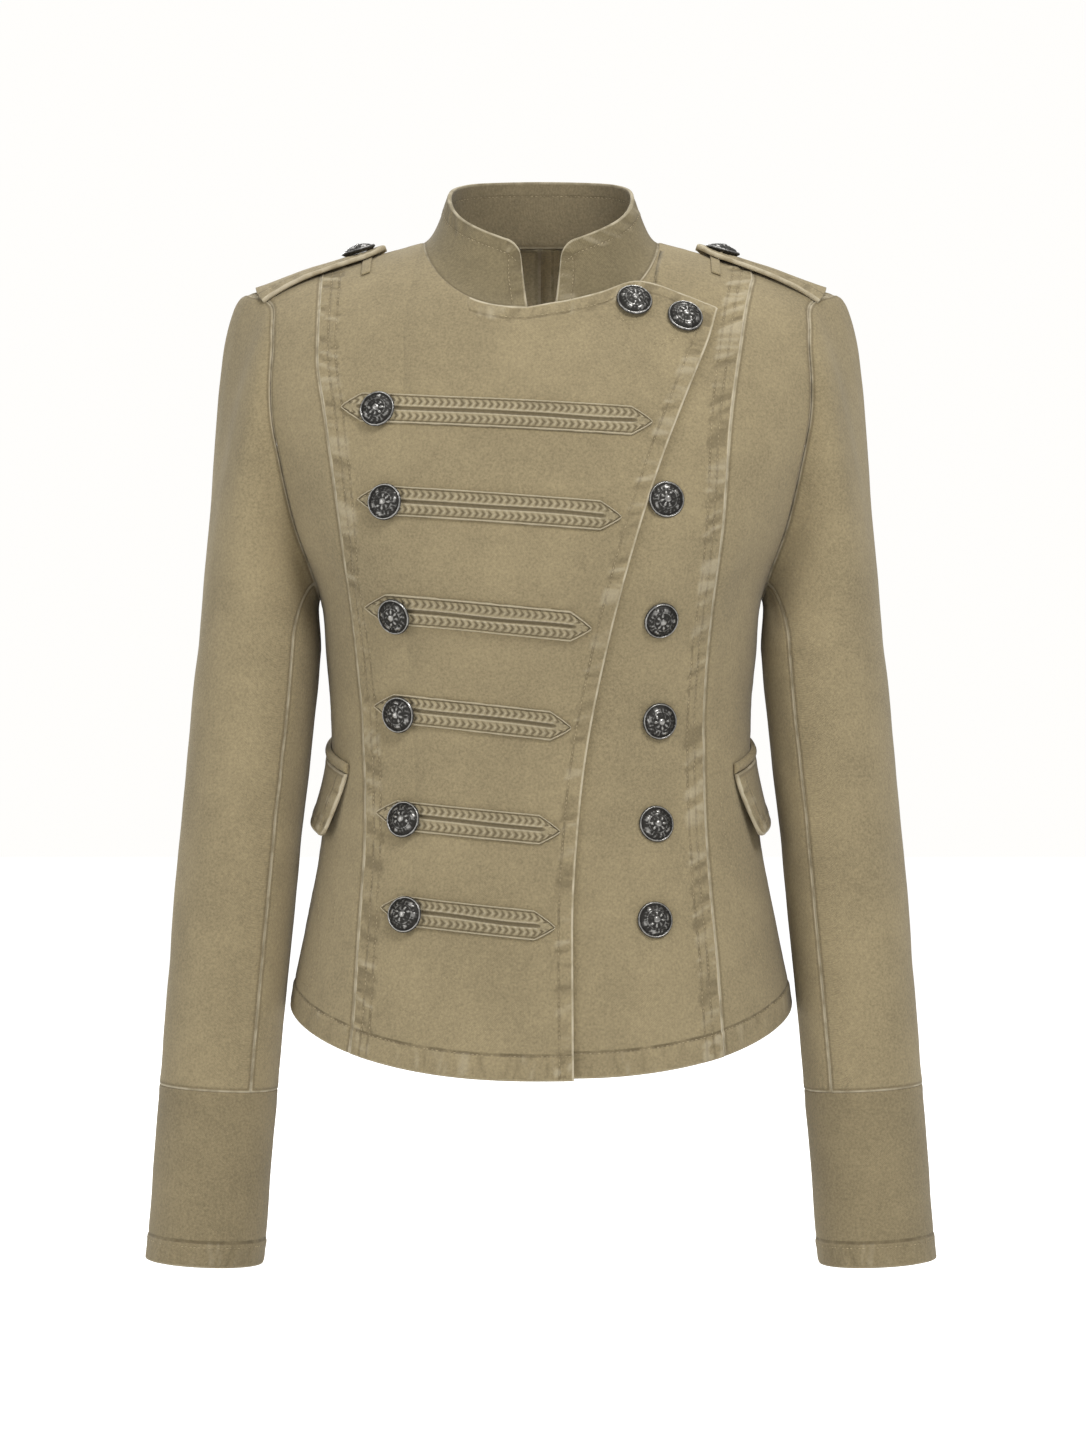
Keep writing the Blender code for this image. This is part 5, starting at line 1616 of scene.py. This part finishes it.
def buttonPiece(node, turnBy):
    part = frame["nodes"][node]
    source = part if hasattr(part, "data") else bpy.data.objects[node]
    verts = np.array([source.matrix_world @ v.co for v in source.data.vertices]) / mm
    centre = verts.mean(axis=0)
    spread = verts - centre
    ways = np.linalg.eigh(spread.T @ spread)[1]
    axis = ways[:, 0]
    heights = spread @ axis
    radius = np.linalg.norm(spread - heights[:, None] * axis, axis=1)
    flatSide = heights[radius > 8.5].mean()
    if flatSide > 0:
        axis = -axis
        heights = -heights
    foot = centre + axis * heights.min()
    aside = unit(np.cross(axis, np.array((0.0, 0, 1)))[None])[0]
    above = np.cross(aside, axis)
    a = np.linspace(0, 2 * math.pi, buttons["around"] + 1)[:-1]
    rimRings = buttons["rimRings"]
    dome = np.linspace(0.25, buttons["domeEnd"], buttons["rings"] - len(rimRings))
    r = np.concatenate([dome, rimRings])
    rGrid, aGrid = np.meshgrid(r, a, indexing="ij")
    h = np.interp(rGrid, [p[0] for p in buttons["shape"]], [p[1] for p in buttons["shape"]])
    b = aGrid + turnBy
    petals = buttons["petals"]
    boss = 1.25 * np.exp(-(rGrid / 1.9) ** 4)
    petal = np.exp(-((rGrid - 3.9) / 1.2) ** 2) * np.clip(0.3 + 0.9 * np.cos(petals * b), 0, 1)
    ringA = np.exp(-((rGrid - 6.0) / 0.3) ** 2) * 0.45
    leaves = 0.5 + 0.5 * np.cos(12 * b + 2.6 * np.sin(6 * b))
    veins = 0.5 + 0.5 * np.cos(30 * b + 4.0 * rGrid)
    scroll = np.exp(-((rGrid - 7.7) / 1.25) ** 2) * (0.55 * leaves**2 + 0.35 * veins * leaves)
    rope = np.exp(-((rGrid - 10.75) / 0.42) ** 2)
    ditch = np.exp(-((rGrid - 9.75) / 0.38) ** 2)
    flat = np.stack([rGrid * np.cos(b), rGrid * np.sin(b), 0 * b], -1)
    rough = broadNoise(flat, 1.8, 400)
    worn = 0.35 + 0.65 * softStep(0.5 + 0.9 * broadNoise(flat, 3.4, 401))
    raised = np.clip(boss + (petal + scroll) * worn + ringA + rope, 0, 1.1)
    h = h - 0.4 + buttons["relief"] * raised - buttons["ditch"] * ditch + buttons["rough"] * rough
    h = np.where(rGrid > 11.2, np.minimum(h, 2.6), h)
    radial = np.cos(aGrid)[..., None] * aside + np.sin(aGrid)[..., None] * above
    top = foot + radial * rGrid[..., None] + axis * h[..., None]
    count = rGrid.shape[1]
    edge = foot + radial[0] * buttons["edge"][0] + axis * buttons["edge"][1]
    back = foot + radial[0] * buttons["footHalf"]
    points = np.concatenate([top.reshape(-1, 3), edge, back])
    ids = np.arange(len(points)).reshape(-1, count)
    ids = np.concatenate([ids, ids[:, :1]], axis=1)
    quads = np.stack([ids[:-1, :-1], ids[:-1, 1:], ids[1:, 1:], ids[1:, :-1]], -1).reshape(-1, 4)
    faces = outwardFaces(points, quads.tolist())
    flipped = faces[0] != quads[0].tolist()
    middle = [list(ids[0, :-1]), list(ids[-1, :-1][::-1])]
    if flipped:
        faces = faces + middle
    else:
        faces = faces + [f[::-1] for f in middle]
    tone = np.concatenate([np.clip(raised + 0.26 * rough, 0, 1).ravel(), np.full(2 * count, 0.35)])
    thing = joinedMesh(node + "_metal", points, faces, tone=tone)
    thing.data.materials.append(oldSilver)
    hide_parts(node)
    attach(thing, "root")
    made.append(thing.name)


buttonNames = ["button_right_%d" % k for k in range(1, 7)] + ["button_left_%d" % k for k in range(1, 6)]
buttonNames += ["button_corner_1", "button_corner_2", "button_shoulder_right", "button_shoulder_left"]
for number, node in enumerate(buttonNames):
    buttonPiece(node, 0.7 * number)
print("stage: buttons made")


def stitchGroup():
    # One stitch is a small rounded grain of thread, placed on each point along its own way.
    group = bpy.data.node_groups.new("sewnStitches", "GeometryNodeTree")
    sockets = (("Geometry", "NodeSocketGeometry", None), ("Length", "NodeSocketFloat", 0.0021),
               ("Wide", "NodeSocketFloat", 0.0005), ("High", "NodeSocketFloat", 0.0003),
               ("Thread", "NodeSocketMaterial", None))
    for label, kind, value in sockets:
        socket = group.interface.new_socket(label, in_out="INPUT", socket_type=kind)
        if value is not None:
            socket.default_value = value
    group.interface.new_socket("Geometry", in_out="OUTPUT", socket_type="NodeSocketGeometry")
    nodes = group.nodes
    link = group.links.new
    given = nodes.new("NodeGroupInput")
    result = nodes.new("NodeGroupOutput")
    grain = nodes.new("GeometryNodeMeshUVSphere")
    grain.inputs["Segments"].default_value = 6
    grain.inputs["Rings"].default_value = 3
    grain.inputs["Radius"].default_value = 0.5
    size = nodes.new("ShaderNodeCombineXYZ")
    link(given.outputs["Length"], size.inputs[0])
    link(given.outputs["Wide"], size.inputs[1])
    link(given.outputs["High"], size.inputs[2])
    shape = nodes.new("GeometryNodeTransform")
    link(grain.outputs["Mesh"], shape.inputs["Geometry"])
    link(size.outputs[0], shape.inputs["Scale"])
    smooth = nodes.new("GeometryNodeSetShadeSmooth")
    link(shape.outputs[0], smooth.inputs["Geometry"])
    named = {}
    for label, kind in (("along", "FLOAT_VECTOR"), ("out", "FLOAT_VECTOR"), ("size", "FLOAT")):
        read = nodes.new("GeometryNodeInputNamedAttribute")
        read.data_type = kind
        read.inputs["Name"].default_value = label
        named[label] = read.outputs["Attribute"]
    turn = nodes.new("FunctionNodeAxesToRotation")
    turn.primary_axis = "Z"
    turn.secondary_axis = "X"
    link(named["out"], turn.inputs[0])
    link(named["along"], turn.inputs[1])
    place = nodes.new("GeometryNodeInstanceOnPoints")
    link(given.outputs["Geometry"], place.inputs["Points"])
    link(smooth.outputs[0], place.inputs["Instance"])
    link(turn.outputs[0], place.inputs["Rotation"])
    link(named["size"], place.inputs["Scale"])
    real = nodes.new("GeometryNodeRealizeInstances")
    link(place.outputs[0], real.inputs[0])
    colour = nodes.new("GeometryNodeSetMaterial")
    link(real.outputs[0], colour.inputs["Geometry"])
    link(given.outputs["Thread"], colour.inputs["Material"])
    link(colour.outputs[0], result.inputs[0])
    return group


def setInput(modifier, label, value):
    for item in modifier.node_group.interface.items_tree:
        if item.item_type == "SOCKET" and item.in_out == "INPUT" and item.name == label:
            modifier[item.identifier] = value


def sewPiece(name, rows, group):
    points = np.concatenate([r[0] for r in rows])
    thing = joinedMesh(name, points, [])
    mesh = thing.data
    for label, index in (("along", 1), ("out", 2)):
        data = mesh.attributes.new(label, "FLOAT_VECTOR", "POINT")
        values = np.concatenate([r[index] for r in rows])
        data.data.foreach_set("vector", values.ravel().astype(np.float32))
    data = mesh.attributes.new("size", "FLOAT", "POINT")
    data.data.foreach_set("value", np.concatenate([r[3] for r in rows]).astype(np.float32))
    modifier = thing.modifiers.new("stitches", "NODES")
    modifier.node_group = group
    for label, key in (("Length", "length"), ("Wide", "wide"), ("High", "high")):
        setInput(modifier, label, stitchSizes[key] * mm)
    setInput(modifier, "Thread", threadCotton)
    ready = thing.evaluated_get(bpy.context.evaluated_depsgraph_get())
    plain = bpy.data.meshes.new_from_object(ready)
    thing.modifiers.remove(modifier)
    thing.data = plain
    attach(thing, "root")
    made.append(thing.name)


# Rows sewn through one cloth, given as x and z from the front: pocket bags, button slits and tacks.
loneRows = {
    "stitches_side": (
        (-1, noShift, ((-129.8, -400.5), (-130.2, -413.7), (-130.7, -427.5), (-131.5, -440.0))),
        (-1, noShift, (
            (-143.0, -419.0), (-140.7, -445.8), (-141.7, -463.9),
            (-144.3, -472.3), (-146.9, -480.0), (-153.6, -477.8),
        )),
        (1, sink, (
            (112.5, -333.0), (114.5, -368.0), (118.4, -396.0), (126.0, -425.0),
            (133.5, -446.0), (139.5, -460.0), (143.5, -469.0), (149.0, -468.0),
        )),
        (1, sink, ((124.5, -440.0), (130.2, -453.0), (136.8, -462.0))),
    ),
    "stitches_front": (
        (-1, liftOff, ((46.0, -54.6), (50.0, -58.2), (54.5, -61.8), (57.5, -65.4))),
        (-1, liftOff, ((48.0, -53.4), (52.0, -57.4), (56.5, -61.2), (59.5, -64.2))),
        (-1, liftOff, ((71.5, -77.0), (76.5, -73.6), (82.0, -70.6), (88.5, -69.4))),
        (-1, liftOff, ((70.5, -75.0), (76.0, -71.4), (82.0, -68.8), (87.0, -67.6))),
        (1, sink, ((91.5, -108.0), (90.6, -111.5))),
    ),
}


def surfaceRow(hand, shift, marks):
    along = np.linspace(0, len(marks) - 1, 6 * len(marks))
    x = np.interp(along, np.arange(len(marks)), [m[0] for m in marks])
    z = np.interp(along, np.arange(len(marks)), [m[1] for m in marks])
    places = frontPlace(x, z, hand)
    points = spot(places[:, 0], places[:, 1], hand)
    outs = normalAt(places[:, 0], places[:, 1], hand)
    return points + outs * (shift(points) + bodySoft(points) + 0.05)[:, None], outs


for name, rows in loneRows.items():
    for number, (hand, shift, marks) in enumerate(rows):
        points, outs = surfaceRow(hand, shift, marks)
        sew(name, points, outs, pitch=2.4, seed=900 + number)


stitches = stitchGroup()
for name, rows in stitchRows.items():
    sewPiece(name, rows, stitches)
print("stage: stitches made", sum(len(r[0]) for rows in stitchRows.values() for r in rows))


studioLook = {
    "world": (1.0, 0.99, 0.97, 1),
    # strength for the light it gives, strength as the camera sees it
    "worldStrength": (0.42, 1.0),
    "floor": (0.93, 0.93, 0.93, 1),
    "floorGlow": (1.0, 1.0, 0.99, 1),
    "floorSeen": 0.7,
    "floorRoughness": 0.95,
    "floorHalf": 9.0,
    "floorHeight": -0.70,
    "aim": (0, 0, -0.32),
    # name, place, size, power
    "lights": (
        ("key", (0.75, -1.5, 1.25), 0.8, 25),
        ("fill", (-1.9, -1.7, 0.2), 1.6, 13),
        ("top", (0.0, 0.4, 2.0), 1.4, 20),
        ("rear", (-0.9, 2.1, 0.9), 1.2, 26),
    ),
    "camera": (0.0013, -2.6, -0.3127),
    "lens": 99.4,
    "sensor": 36.0,
}


def makeWorld(scene):
    world = bpy.data.worlds.new("studio") if scene.world is None else scene.world
    scene.world = world
    world.use_nodes = True
    nodes = Nodes(world.node_tree)
    background = world.node_tree.nodes["Background"]
    background.inputs[0].default_value = studioLook["world"]
    seen = nodes.add("ShaderNodeLightPath")
    strength = nodes.ramp(seen.outputs["Is Camera Ray"], 0.0, 1.0, *studioLook["worldStrength"])
    nodes.link(strength, background.inputs[1])


def makeFloor(scene):
    material = bpy.data.materials.new("paleFloor")
    material.use_nodes = True
    shader = material.node_tree.nodes["Principled BSDF"]
    shader.inputs["Base Color"].default_value = studioLook["floor"]
    shader.inputs["Emission Color"].default_value = studioLook["floorGlow"]
    shader.inputs["Roughness"].default_value = studioLook["floorRoughness"]
    nodes = Nodes(material.node_tree)
    seen = nodes.add("ShaderNodeLightPath")
    glow = nodes.ramp(seen.outputs["Is Camera Ray"], 0.0, 1.0, 0.0, studioLook["floorSeen"])
    nodes.link(glow, shader.inputs["Emission Strength"])
    mesh = bpy.data.meshes.new("floor")
    half = studioLook["floorHalf"]
    signs = ((-1, -1), (1, -1), (1, 1), (-1, 1))
    corners = [(half * x, half * y, studioLook["floorHeight"]) for x, y in signs]
    mesh.from_pydata(corners, [], [(0, 1, 2, 3)])
    floor = bpy.data.objects.new("floor", mesh)
    floor.data.materials.append(material)
    scene.collection.objects.link(floor)


def makeLights(scene):
    aim = Vector(studioLook["aim"])
    for name, place, size, power in studioLook["lights"]:
        data = bpy.data.lights.new(name, "AREA")
        data.shape = "DISK"
        data.size = size
        data.energy = power
        lamp = bpy.data.objects.new(name, data)
        lamp.location = place
        lamp.rotation_euler = (aim - Vector(place)).to_track_quat("-Z", "Y").to_euler()
        scene.collection.objects.link(lamp)


def makeCamera(scene):
    data = bpy.data.cameras.new("camera")
    data.lens = studioLook["lens"]
    data.sensor_width = studioLook["sensor"]
    data.sensor_height = studioLook["sensor"]
    data.sensor_fit = "AUTO"
    camera = bpy.data.objects.new("camera", data)
    camera.location = studioLook["camera"]
    camera.rotation_euler = (math.pi / 2, 0, 0)
    scene.collection.objects.link(camera)
    scene.camera = camera


scene = bpy.context.scene
scene.view_settings.view_transform = "Standard"
makeWorld(scene)
makeFloor(scene)
makeLights(scene)
makeCamera(scene)
total = 0
for name in made:
    mesh = bpy.data.objects[name].data
    mesh.calc_loop_triangles()
    total += len(mesh.loop_triangles)
print("stage: studio made, triangles", total)
